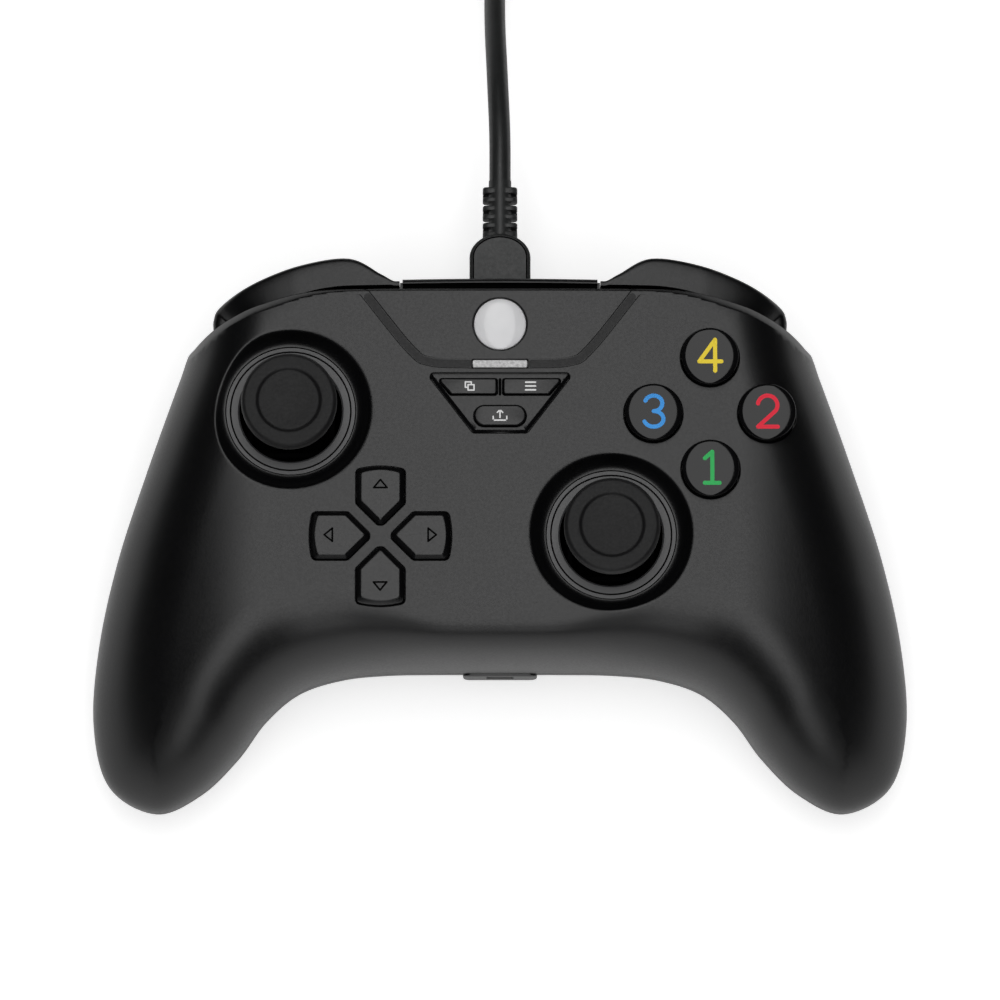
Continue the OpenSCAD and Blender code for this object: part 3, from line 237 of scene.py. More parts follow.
# Thermoplastic elastomer over the thumb caps: soft, dull and faintly dusty.
SOFT_RUBBER = Finish(
    "elastomer_overmoulded", "#0a0a0b", "#080809", (0.5, 0.6), grain_mm=0.5, depth_mm=0.02, ior=1.42, sheen=0.05
)
# Matt black acetal under and round the sticks, with almost no reflection: real black plastic, painted as shade so
# that it stays black in the shade of the caps.
SHADE_PAINTED_ACETAL = Finish("acetal_black_painted_shade", "#020202", "#010101", (0.75, 0.85), grain_mm=0.5, ior=1.04)
# Acetal friction rings, turned smooth by use: mid grey with a waxy sheen.
ACETAL = Finish("acetal_polished_by_use", "#444445", "#3e3e3f", (0.3, 0.38), grain_mm=0.3, depth_mm=0.005)
# White polycarbonate dome with a pearl lacquer.
PEARL_PC = Finish("polycarbonate_pearl", "#dcdcdd", "#d0d0d2", (0.16, 0.22), grain_mm=0.6, depth_mm=0.004, coat=0.5)
# Frosted polycarbonate light guide: pale with a fine sparkle.
FROSTED_PC = Finish(
    "polycarbonate_frosted", "#d2d2d2", "#9a9a9b", (0.4, 0.55), Texture.SPECKLE, 0.5, 0.01, glow=0.05
)
# Printed marks under clear lacquer: flat, even pigment.
ink = partial(Finish, grain_mm=0.3, depth_mm=0.002)
WHITE_INK = ink("ink_white_printed", "#e6e6e6", "#dcdcdc", (0.35, 0.45))
YELLOW_INK = ink("ink_yellow_printed", "#f0d63c", "#e8ce34", (0.4, 0.5), ior=1.3)
BLUE_INK = ink("ink_blue_printed", "#429ce8", "#3c94e0", (0.4, 0.5), ior=1.3)
RED_INK = ink("ink_red_printed", "#ea2740", "#e0233a", (0.4, 0.5), ior=1.3)
GREEN_INK = ink("ink_green_printed", "#34b45e", "#2fac58", (0.4, 0.5), ior=1.3)
# Painted shade: near-black with almost no reflection, laid on the floors of engraved lines and in grooves, gaps and
# seams, which see almost no light.
PAINTED_SHADE = Finish("abs_painted_shade", "#030303", "#020202", (0.7, 0.8), ior=1.12)
# PVC jacket of the lead, extruded: satin with a faint grain.
PVC = Finish("pvc_extruded", "#232424", "#1d1e1e", (0.34, 0.46), grain_mm=0.8, depth_mm=0.015)
# PVC moulded over the plugs, slightly duller than the jacket.
PVC_MOULDED = Finish("pvc_moulded", "#252626", "#1f2020", (0.38, 0.48), grain_mm=0.5)
# Woven nylon hook tape of the tie.
NYLON_TAPE = Finish("nylon_woven_tape", "#2e2e30", "#151516", (0.7, 0.85), Texture.WOVEN, 0.8, 0.12, sheen=0.3)
# Drawn and pressed steel: pins, springs, screws, switches and motor cans.
STEEL = Finish("steel_drawn", "#b6b9bd", "#a2a5a9", (0.24, 0.36), Texture.BRUSHED, 0.25, 0.004, metallic=1.0)
# Steel frames of the sticks, drawn near-black and dull with almost no reflection: painted shade, so the gap round a
# stick stays black.
SHADE_PAINTED_STEEL = Finish("steel_painted_shade", "#070708", "#040405", (0.65, 0.75), grain_mm=0.4, depth_mm=0.01, ior=1.05)
# Sintered tungsten alloy weights, dark and grainy.
SINTERED = Finish("tungsten_sintered", "#7c7e82", "#66686c", (0.45, 0.55), grain_mm=0.3, depth_mm=0.02, metallic=1.0)
# Glass-filled nylon of the inner frame: dull grey with short fibre marks.
GLASS_NYLON = Finish("nylon_glass_filled", "#46484c", "#3c3e42", (0.5, 0.6), Texture.BRUSHED, 0.5, 0.02)
# Natural acetal of the stick hubs: milky white.
NATURAL_ACETAL = Finish("acetal_natural", "#e6e2d6", "#dcd8cb", (0.35, 0.45), grain_mm=0.5, depth_mm=0.01)
# Silicone mats with carbon pads: matt, slightly dusty grey.
SILICONE = Finish("silicone_moulded", "#85888b", "#787b7e", (0.6, 0.7), grain_mm=0.6, depth_mm=0.02, sheen=0.1)
# Glass-epoxy board under near-black lacquer, with its copper as a faint network.
LACQUERED_BOARD = Finish("epoxy_board_lacquered", "#0b120f", "#080d0b", (0.3, 0.4), Texture.TRACES, 2.0, 0.03)
# Black PBT of the jack body and the far plug's tongue.
PBT = Finish("pbt_moulded", "#0f0f10", "#0b0b0c", (0.4, 0.5), grain_mm=0.4, depth_mm=0.01)


# Curves and outlines


def bend(a: np.ndarray, b: np.ndarray, c: np.ndarray, d: np.ndarray, t: float) -> np.ndarray:
    """One point of the smooth span between b and c."""
    return 0.5 * (2 * b + (c - a) * t + (2 * a - 5 * b + 4 * c - d) * t**2 + (3 * b - a - 3 * c + d) * t**3)


def curve(knots: Sequence, before: Sequence, after: Sequence, steps: int) -> np.ndarray:
    """A smooth curve through knots.

    Args:
        knots: Points on the curve.
        before: Point that sets the direction at the start.
        after: Point that sets the direction at the end.
        steps: Points per span.

    Returns:
        The curve's points, one row each.
    """
    line = np.array([before, *knots, after], float)
    points = [bend(*line[i : i + 4], j / steps) for i in range(len(knots) - 1) for j in range(steps)]
    return np.array([*points, line[-2]])


def open_curve(knots: Sequence, steps: int) -> np.ndarray:
    """A smooth curve with free ends."""
    line = np.array(knots, float)
    return curve(line, 2 * line[0] - line[1], 2 * line[-1] - line[-2], steps)


def mirror_curve(knots: Sequence, steps: int) -> np.ndarray:
    """A smooth curve whose ends lie on the middle plane."""
    line = np.array(knots, float)
    flip = np.array([-1, 1])
    return curve(line, line[1] * flip, line[-2] * flip, steps)


def polar(centre: Sequence[float], radius: float, angle: float) -> Point:
    """Plan point at a distance and an angle in degrees from a centre."""
    turn = math.radians(angle)
    return centre[0] + radius * math.cos(turn), centre[1] + radius * math.sin(turn)


def turned(points: np.ndarray, angle: float) -> np.ndarray:
    """Plan points turned about the origin so that +Y comes to an angle in degrees."""
    turn = math.radians(angle - 90)
    return points @ np.array([[math.cos(turn), math.sin(turn)], [-math.sin(turn), math.cos(turn)]])


def circle(centre: Sequence[float], radius: float, count: int = 96) -> np.ndarray:
    """Points of a circle, anticlockwise."""
    turn = np.linspace(0, 2 * math.pi, count, endpoint=False)
    return np.column_stack([centre[0] + radius * np.cos(turn), centre[1] + radius * np.sin(turn)])


def rounded(points: Sequence, radius: float, steps: int = 8) -> np.ndarray:
    """A polygon with round corners.

    Args:
        points: Corners in order.
        radius: Corner radius.
        steps: Spans per corner.

    Returns:
        The rounded outline.
    """
    corners = np.array(points, float)
    made = []
    for i, corner in enumerate(corners):
        u = corners[i - 1] - corner
        v = corners[(i + 1) % len(corners)] - corner
        u, v = u / np.linalg.norm(u), v / np.linalg.norm(v)
        half = math.acos(float(np.clip(u @ v, -1, 1))) / 2
        centre = corner + (u + v) / np.linalg.norm(u + v) * radius / math.sin(half)
        x, y = corner + u * radius / math.tan(half) - centre
        way = -1 if u[0] * v[1] - u[1] * v[0] > 0 else 1
        for k in range(steps + 1):
            w = way * (math.pi - 2 * half) * k / steps
            made.append(centre + [x * math.cos(w) - y * math.sin(w), x * math.sin(w) + y * math.cos(w)])
    return np.array(made)


def box_points(width: float, length: float) -> np.ndarray:
    """Corners of a rectangle round the origin, anticlockwise."""
    return np.array([[-1, -1], [1, -1], [1, 1], [-1, 1]]) * [width / 2, length / 2]


def area(polygon: np.ndarray) -> float:
    """Signed area of a polygon, positive when anticlockwise."""
    x, y = polygon.T
    return float(np.sum(x * np.roll(y, -1) - y * np.roll(x, -1)) / 2)


def unit(vectors: np.ndarray) -> np.ndarray:
    """Rows scaled to length 1."""
    return vectors / np.maximum(np.linalg.norm(vectors, axis=1), 1e-9)[:, None]


def left_of(path: np.ndarray) -> np.ndarray:
    """Unit vectors to the left of a path, point by point."""
    way = np.gradient(path, axis=0)
    return unit(np.column_stack([-way[:, 1], way[:, 0]]))


def grown(polygon: np.ndarray, distance: float) -> np.ndarray:
    """A polygon, anticlockwise, moved outwards by a distance, or inwards if it is negative."""
    line = polygon if area(polygon) > 0 else polygon[::-1]
    before = unit(line - np.roll(line, 1, axis=0))
    after = unit(np.roll(line, -1, axis=0) - line)
    normal = unit(np.column_stack([before[:, 1] + after[:, 1], -before[:, 0] - after[:, 0]]))
    share = normal[:, 0] * before[:, 1] - normal[:, 1] * before[:, 0]
    return line + normal * (distance / np.maximum(share, 0.35))[:, None]


def gap_to(points: np.ndarray, line: np.ndarray, closed: bool = False) -> np.ndarray:
    """Distance of each point from a polyline."""
    ends = np.roll(line, -1, axis=0) if closed else line[1:]
    starts = line if closed else line[:-1]
    best = np.full(len(points), 1e9)
    for a, b in zip(starts, ends):
        v = b - a
        t = np.clip(((points - a) @ v) / max(1e-12, float(v @ v)), 0, 1)
        best = np.minimum(best, np.hypot(*(points - a - t[:, None] * v).T))
    return best


def inside(points: np.ndarray, polygon: np.ndarray, cuts: Sequence[np.ndarray] = ()) -> np.ndarray:
    """Which points lie in a polygon and in none of its cuts."""
    x, y = points.T
    found = np.zeros(len(points), bool)
    for (ax, ay), (bx, by) in zip(polygon, np.roll(polygon, -1, axis=0)):
        crosses = (ay > y) != (by > y)
        if by != ay:
            found ^= crosses & (x < (bx - ax) * (y - ay) / (by - ay) + ax)
    for cut in cuts:
        found &= ~inside(points, cut)
    return found


def ease(t: np.ndarray | float) -> np.ndarray | float:
    """Smooth step from 0 to 1."""
    u = np.clip(t, 0, 1)
    return u * u * (3 - 2 * u)


def edge_drop(points: np.ndarray, edge: np.ndarray, radius: float) -> np.ndarray:
    """How far a surface with a rounded edge lies below its flat at plan points."""
    gap = np.minimum(gap_to(points, edge, True), radius)
    return radius - np.sqrt(np.maximum(0, radius * radius - (radius - gap) ** 2))


def at_z(plan: np.ndarray, z: np.ndarray | float) -> np.ndarray:
    """Plan points at a height, or at one height each."""
    return np.column_stack([plan, np.full(len(plan), z)])


def at_x(section: np.ndarray, x: float) -> np.ndarray:
    """A section of (y, z) points at one x."""
    return np.column_stack([np.full(len(section), x), section])


def at_y(section: np.ndarray, y: float) -> np.ndarray:
    """A section of (x, z) points at one y."""
    return np.column_stack([section[:, 0], np.full(len(section), y), section[:, 1]])


def level(z: float) -> Callable:
    """A flat surface, as a function of plan points."""
    return lambda p: np.full(len(p), z)


def whole(half: np.ndarray) -> np.ndarray:
    """A closed anticlockwise outline from its right half."""
    return np.vstack([half, (half * [-1, 1])[-2:0:-1]])


def rows_round(outline: np.ndarray, gaps: Sequence[float]) -> Rows:
    """Closed rows of points at distances outside an outline, or inside where negative."""
    return [(grown(outline, gap), True) for gap in gaps]


def staggered(spacing: float, half: float, low: float, high: float) -> np.ndarray:
    """Plan points in staggered rows.

    Args:
        spacing: Distance between neighbours.
        half: Half of the rows' width.
        low: y of the first row.
        high: y that the rows end before.

    Returns:
        The points.
    """
    rows = []
    for i, y in enumerate(np.arange(low, high, spacing * 0.87)):
        x = np.arange(-half, half, spacing) + (spacing / 2 if i % 2 else 0)
        rows.append(np.column_stack([x, np.full(len(x), y)]))
    return np.vstack(rows)


# Meshes


def add_object(name: str, data: bpy.types.ID) -> bpy.types.Object:
    """Puts a new object into the scene."""
    made = bpy.data.objects.new(name, data)
    bpy.context.scene.collection.objects.link(made)
    return made


@dataclass
class Shape:
    """A mesh under construction: points in millimetres and faces."""

    points: list = field(default_factory=list)
    faces: list = field(default_factory=list)
    normals: list = field(default_factory=list)

    def add(self, points: Sequence, faces: Sequence) -> None:
        """Adds points and the faces between them."""
        start = len(self.points)
        self.points.extend([tuple(map(float, p)) for p in points])
        self.faces.extend([tuple(start + int(i) for i in f) for f in faces])

    def rings(self, rings: Sequence[np.ndarray], caps: bool = True, closed: bool = True) -> None:
        """Adds a skin through rings of points.

        Args:
            rings: Rings with the same number of points.
            caps: Whether the first and last ring get a lid.
            closed: Whether each ring is a loop.
        """
        n = len(rings[0])
        faces = [
            (r * n + i, r * n + (i + 1) % n, (r + 1) * n + (i + 1) % n, (r + 1) * n + i)
            for r in range(len(rings) - 1)
            for i in range(n if closed else n - 1)
        ]
        if caps:
            faces += [tuple(range(n))[::-1], tuple((len(rings) - 1) * n + i for i in range(n))]
        self.add([p for ring in rings for p in ring], faces)

    def strip(self, rows: Sequence[np.ndarray]) -> None:
        """Adds an open skin through open rows of points."""
        self.rings(rows, caps=False, closed=False)

    def lathe(self, profile: Sequence, centre: Sequence[float], count: int = 96) -> None:
        """Turns a profile of (radius, height) points about an upright axis."""
        self.rings([at_z(circle(centre, r, count), z) for r, z in profile])

    def stack(self, outline: np.ndarray, levels: Sequence[Point]) -> None:
        """Stacks an outline at levels of (inset, height)."""
        self.rings([at_z(grown(outline, -inset), z) for inset, z in levels])

    def ribbon(self, path: np.ndarray, width: float, height: Callable, lift: float = 0.02) -> None:
        """Lays a flat stroke with round ends along a path on a surface.

        Args:
            path: Plan points of the stroke's middle line.
            width: Stroke width.
            height: Surface height at plan points.
            lift: Height of the stroke above the surface.
        """
        side = left_of(path)
        rows = np.vstack([path + side * width * share for share in (-0.5, -0.25, 0, 0.25, 0.5)])
        n, ends = len(path), 20
        faces = [(a + n, a + n + 1, a + 1, a) for r in range(4) for a in range(r * n, r * n + n - 1)]
        self.add(np.column_stack([rows, height(rows) + lift]), faces)
        for end in (path[0], path[-1]):
            disc = np.vstack([circle(end, width / 2, ends), [end]])
            faces = [(i, (i + 1) % ends, ends) for i in range(ends)]
            self.add(np.column_stack([disc, height(disc) + lift * 1.05]), faces)

    def lines(self, corners: Sequence, steps: int, width: float, height: Callable, lifts: Point) -> None:
        """Lays straight strokes from corner to corner.

        Args:
            corners: Plan points in order.
            steps: Points per stroke.
            width: Stroke width.
            height: Surface height at plan points.
            lifts: Lift of the first stroke, and how much is added for each next one.
        """
        for i, (a, b) in enumerate(zip(corners[:-1], corners[1:])):
            self.ribbon(np.linspace(a, b, steps), width, height, lifts[0] + lifts[1] * i)

    def place(
        self,
        name: str,
        finish: Finish,
        body: str,
        nodes: Sequence[str] = (),
        slot: str = "",
        sharp: float = 32.0,
        solid: bool = True,
    ) -> bpy.types.Object:
        """Makes the object.

        Args:
            name: Object name.
            finish: Its material.
            body: CAD body that it rides on.
            nodes: CAD nodes that it stands for.
            slot: Material slot of the record; not used.
            sharp: Edges that turn by more than this many degrees stay sharp.
            solid: Whether faces are turned outwards as on a closed solid.

        Returns:
            The object.
        """
        mesh = bpy.data.meshes.new(name)
        mesh.from_pydata([tuple(c * MM for c in p) for p in self.points], [], self.faces)
        if solid:
            work = bmesh.new()
            work.from_mesh(mesh)
            bmesh.ops.remove_doubles(work, verts=work.verts, dist=1e-7)
            bmesh.ops.recalc_face_normals(work, faces=work.faces)
            work.to_mesh(mesh)
            work.free()
        mesh.polygons.foreach_set("use_smooth", [True] * len(mesh.polygons))
        if self.normals:
            mesh.normals_split_custom_set_from_vertices([tuple(map(float, n)) for n in self.normals])
        else:
            mesh.set_sharp_from_angle(angle=math.radians(sharp))
        mesh.materials.append(finish.build())
        piece = add_object(name, mesh)
        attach(piece, body)
        if nodes:
            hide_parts(*nodes)
        log.info("%s: %d faces, rides on %s", name, len(mesh.polygons), body)
        return piece


@dataclass
class Skin:
    """A moulded skin over a plan region, with walls at its cut edges and exact normals.

    Attributes:
        keep: Which plan points belong to the region.
        height: Height of the skin at plan points.
        wall: Depth of the walls at holes and cut edges.
        on_rim: Which plan points lie on the outer rim, which gets no wall.
        up: Whether the skin faces up.
        outline: Anticlockwise outer rim, along which the skin stands upright.
        slope_step: Plan step over which the slope is measured.
        clearance: Further points this close to a line are left out.
    """

    keep: Callable
    height: Callable
    wall: float
    on_rim: Callable
    up: bool = True
    outline: np.ndarray | None = None
    slope_step: float = 0.02
    clearance: float = 0.3

    def plan(self, lines: Rows, points: np.ndarray) -> tuple[np.ndarray, np.ndarray]:
        """Triangulates the region.

        Args:
            lines: Polylines that the mesh follows, each with whether it is closed.
            points: Further plan points.

        Returns:
            The plan points in use and the triangles between them.
        """
        plan, edges = [], []
        for line, closed in lines:
            start = len(plan)
            plan.extend(line)
            edges += [(start + i, start + i + 1) for i in range(len(line) - 1)]
            if closed:
                edges.append((start + len(line) - 1, start))
        fixed = np.array(plan)
        for chunk in np.array_split(points, max(1, len(points) // 500)):
            near = np.hypot(*(chunk[:, None] - fixed[None]).transpose(2, 0, 1)).min(axis=1)
            plan.extend(chunk[near > self.clearance])
        made = delaunay_2d_cdt([Vector(p) for p in plan], edges, [], 0, 1e-4, False)
        flat = np.array([tuple(v) for v in made[0]])
        faces = np.array([f for f in made[2] if len(f) == 3])
        faces = faces[self.keep(flat[faces].mean(axis=1))]
        used, faces = np.unique(faces, return_inverse=True)
        return flat[used], faces.reshape(-1, 3)

    def normals(self, flat: np.ndarray, rim: np.ndarray) -> np.ndarray:
        """Exact normals: from the slope, and level on the rim.

        Args:
            flat: Plan points.
            rim: Which of them lie on the rim.

        Returns:
            One normal per point.
        """
        steps = np.eye(2) * self.slope_step
        slope = [(self.height(flat + d) - self.height(flat - d)) / (2 * self.slope_step) for d in steps]
        normal = unit(np.column_stack([-slope[0], -slope[1], np.ones(len(flat))])) * (1 if self.up else -1)
        if self.outline is not None:
            along = np.roll(self.outline, -1, axis=0) - np.roll(self.outline, 1, axis=0)
            outward = unit(np.column_stack([along[:, 1], -along[:, 0], np.zeros(len(along))]))
            near = np.hypot(*(flat[rim, None] - self.outline[None]).transpose(2, 0, 1)).argmin(axis=1)
            normal[rim] = outward[near]
        return normal

    def build(self, lines: Rows, points: np.ndarray) -> Shape:
        """Makes the skin.

        Args:
            lines: Polylines that the mesh follows, each with whether it is closed.
            points: Further plan points.

        Returns:
            The skin's shape.
        """
        flat, faces = self.plan(lines, points)
        z, rim = self.height(flat), self.on_rim(flat)
        top, low = at_z(flat, z), at_z(flat, z - (self.wall if self.up else -self.wall))
        shape = Shape()
        shape.add(top, faces if self.up else faces[:, ::-1])
        shape.normals.extend(self.normals(flat, rim))
        pairs = np.vstack([faces[:, [0, 1]], faces[:, [1, 2]], faces[:, [2, 0]]])
        _, first, count = np.unique(np.sort(pairs, axis=1), axis=0, return_index=True, return_counts=True)
        cut = pairs[first[count == 1]]
        for a, b in cut[~(rim[cut[:, 0]] & rim[cut[:, 1]])]:
            dx, dy = flat[b] - flat[a]
            quad = [top[a], low[a], low[b], top[b]] if self.up else [top[a], top[b], low[b], low[a]]
            shape.add(quad, [(0, 1, 2, 3)])
            shape.normals.extend([np.array([dy, -dx, 0]) / max(1e-9, math.hypot(dx, dy))] * 4)
        return shape


# The housing


@dataclass(frozen=True)
class HousingForm:
    """Outline and heights of the two shells."""

    half_w: float = 76.04
    grip_reach: float = 51.8
    face_edge: float = 42.3
    waist: float = 26.2
    shoulder_drop: float = 13.6
    face_z: float = 44.0
    part_z: float = 25.0
    part_drop: float = 12.0
    wall: float = 2.2
    edge_round: float = 16.0
    waist_round: float = 7.0
    rear_round: float = 17.0
    side_fall: float = 9.0
    grip_fall: float = 17.0
    valley: float = 9.0
    seam: float = 0.2
    front_power: float = 2.4
    rear_power: float = 2.1

    def outline(self, top: Sequence) -> np.ndarray:
        """Right half of an outline, from the middle of the waist round the grip to the middle of the top."""
        grip = [
            (0, 0), (0.066, 0), (0.158, 0), (0.276, 0.006), (0.388, 0.04), (0.493, 0.14), (0.5755, 0.34),
            (0.644, 0.6055), (0.736, 0.863), (0.8475, 1), (0.962, 0.8125), (1, 0.383),
        ]
        side = [(0.9855, 0.0765), (0.938, 0.368), (0.867, 0.6776), (0.786, 1)]
        shoulder = self.face_edge - self.shoulder_drop
        knots = [(s * self.half_w, -self.waist - f * (self.grip_reach - self.waist)) for s, f in grip]
        knots += [(s * self.half_w, -self.waist + r * (shoulder + self.waist)) for s, r in side]
        return mirror_curve(knots + [(s * self.half_w, self.face_edge + y) for s, y in top], 10)

    def front_line(self) -> np.ndarray:
        """Right half of the front shell's outline."""
        return self.outline([(0.7, 4), (0.42, 15), (0, 18)])

    def rear_line(self) -> np.ndarray:
        """Right half of the rear shell's outline."""
        return self.outline([(0.7, -6.3), (0.434, -0.9), (0, -0.3)])

    def face_line(self) -> np.ndarray:
        """The face's top edge, from left to right."""
        knots = [(0, 0), (27, -0.1), (37, -0.7), (44.4, -2.7), (48.5, -4.3), (53, -6.6), (57, -9.4), (61, -12.8)]
        half = mirror_curve(knots, 12) + [0, self.face_edge]
        return np.vstack([half[:0:-1] * [-1, 1], half])

    def parting(self, y: np.ndarray | float) -> np.ndarray | float:
        """Height of the parting line, which drops towards the grips."""
        return self.part_z - self.part_drop * ease(-y / 58)

    @staticmethod
    def bulge(gap: np.ndarray, band: np.ndarray | float, power: float) -> np.ndarray:
        """Rise of a rounded edge, 0 at the rim and 1 past the band."""
        rest = 1 - np.minimum(1, np.maximum(0, gap) / band)
        return (1 - rest**power) ** (1 / power)

    @staticmethod
    def rim_rows(half: np.ndarray, band: float, power: float) -> Rows:
        """Rows of points along the rounded edge inside an outline, given by its right half."""
        rises = [0.0, 0.06, 0.13, 0.2, 0.28, 0.36, 0.44, 0.52, 0.6, 0.68, 0.75]
        return rows_round(whole(half), [-band * (1 - (1 - b**power) ** (1 / power)) for b in rises])

    @staticmethod
    def rim_test(half: np.ndarray) -> Callable:
        """Which plan points lie on an outline, given by its right half."""
        return lambda p: gap_to(p * np.where(p[:, :1] < 0, [-1, 1], [1, 1]), half) < ON_RIM

    @staticmethod
    def fill(spacing: float) -> np.ndarray:
        """Plan points that cover both shells."""
        return staggered(spacing, 77, -53, 44)

    def front_z(self, p: np.ndarray, line: np.ndarray, inset: float = 0.0) -> np.ndarray:
        """Height of the front shell.

        Args:
            p: Plan points.
            line: Right half of the shell's outline.
            inset: Depth below the skin.

        Returns:
            One height per point.
        """
        x, y = np.abs(p[:, 0]), p[:, 1]
        crown = self.face_z - self.side_fall * (np.maximum(0, x - 44) / 32) ** 2
        crown = crown - self.grip_fall * (np.maximum(0, -12 - y) / (self.grip_reach - 12)) ** 1.7
        gap = gap_to(np.column_stack([x, y]), line)
        base = self.parting(y)
        middle = (1 - ease((x - 8) / 32)) * ease(-y / 10)
        band = self.edge_round + (self.waist_round - self.edge_round) * middle
        return base + (crown - inset - base) * self.bulge(gap - inset, band, self.front_power)

    def rear_z(self, p: np.ndarray, line: np.ndarray) -> np.ndarray:
        """Height of the rear shell, hollowed where the fingers lie.

        Args:
            p: Plan points.
            line: Right half of the shell's outline.

        Returns:
            One height per point.
        """
        x, y = np.abs(p[:, 0]), p[:, 1]
        hollow = self.valley * ease((x - 20) / 16) * ease((y + self.waist - 4) / 30)
        gap = gap_to(np.column_stack([x, y]), line)
        base = self.parting(y) - self.seam
        return np.maximum(FLOOR_GAP, base - (base - hollow) * self.bulge(gap, self.rear_round, self.rear_power))


FORM = HousingForm()


@dataclass
class FaceLayout:
    """Where the controls sit on the face."""

    left_stick: Point = (-38.7, 19.6)
    right_stick: Point = (20.5, -3.6)
    face_at: Point = (38.8, 18.7)
    face_pitch: float = 10.5
    button_r: float = 5.25
    dpad_at: Point = (-22.0, -4.2)
    dpad_w: float = 8.7
    dpad_reach: float = 12.9
    home_at: Point = (0.0, 35.6)
    home_r: float = 4.8
    light_at: Point = (0.0, 28.1)
    light_size: Point = (10.1, 1.4)
    pill_at: Point = (0.0, 18.4)
    pill_size: Point = (9.35, 3.65)
    menu_low: float = 22.5
    menu_top: float = 25.3
    panel_top: Point = (13.66, 26.4)
    panel_low: Point = (4.97, 15.1)
    gap: float = 0.15

    def button_at(self, angle: float) -> Point:
        """Centre of the face button at an angle in degrees."""
        return polar(self.face_at, self.face_pitch, angle)

    def key(self, angle: float, grow: float) -> np.ndarray:
        """Outline of a direction key that points away from the group's centre at an angle in degrees."""
        half = self.dpad_w / 2 + grow
        knee = self.dpad_reach - 6.8 - grow * (math.sqrt(2) - 1)
        nose = max(self.dpad_reach - 10.7 - grow, knee - half + 0.12)
        tip = nose - knee + half
        end = [(half * s, self.dpad_reach - 0.6 * abs(s) ** 2 + grow) for s in np.linspace(1, -1, 9)]
        corners = [(half, knee), *end, (-half, knee), (-tip, nose), (tip, nose)]
        return turned(rounded(corners, 0.85 + grow / 2, 6), angle) + self.dpad_at

    def menu(self, side: int, grow: float) -> np.ndarray:
        """Outline of a menu key; side is -1 on the left and 1 on the right."""
        low, top = self.menu_low - grow, self.menu_top + grow
        corners = [(0.65 - grow, low), (9 + 1.3 * grow, low), (11.5 + 1.3 * grow, top), (0.65 - grow, top)]
        return rounded([(side * x, y) for x, y in corners], 0.4 + max(0, grow) / 2)

    def pill(self, grow: float) -> np.ndarray:
        """Outline of the pill-shaped button."""
        width, length = self.pill_size
        return rounded(box_points(width + 2 * grow, length + 2 * grow), 1.8 + grow, 12) + self.pill_at

    def light(self, grow: float) -> np.ndarray:
        """Outline of the status light."""
        width, length = self.light_size
        return rounded(box_points(width + 2 * grow, length + 2 * grow), 0.35 + grow / 2) + self.light_at

    def panel_side(self, side: int) -> np.ndarray:
        """A slanted side of the menu panel from its top; side is -1 on the left and 1 on the right."""
        return np.array([self.panel_top, self.panel_low]) * [side, 1]

    def panel(self) -> np.ndarray:
        """Outline of the sunken menu panel."""
        return rounded(np.vstack([self.panel_side(-1), self.panel_side(1)[::-1]]), 0.8)

    def groove(self) -> np.ndarray:
        """Middle line of the right half of the groove that frames the home button."""
        return open_curve([(25.2, 41.6), (16.65, 30.9), (12.85, 28.5), (5.05, 28.1)], 12)


LAYOUT = FaceLayout()


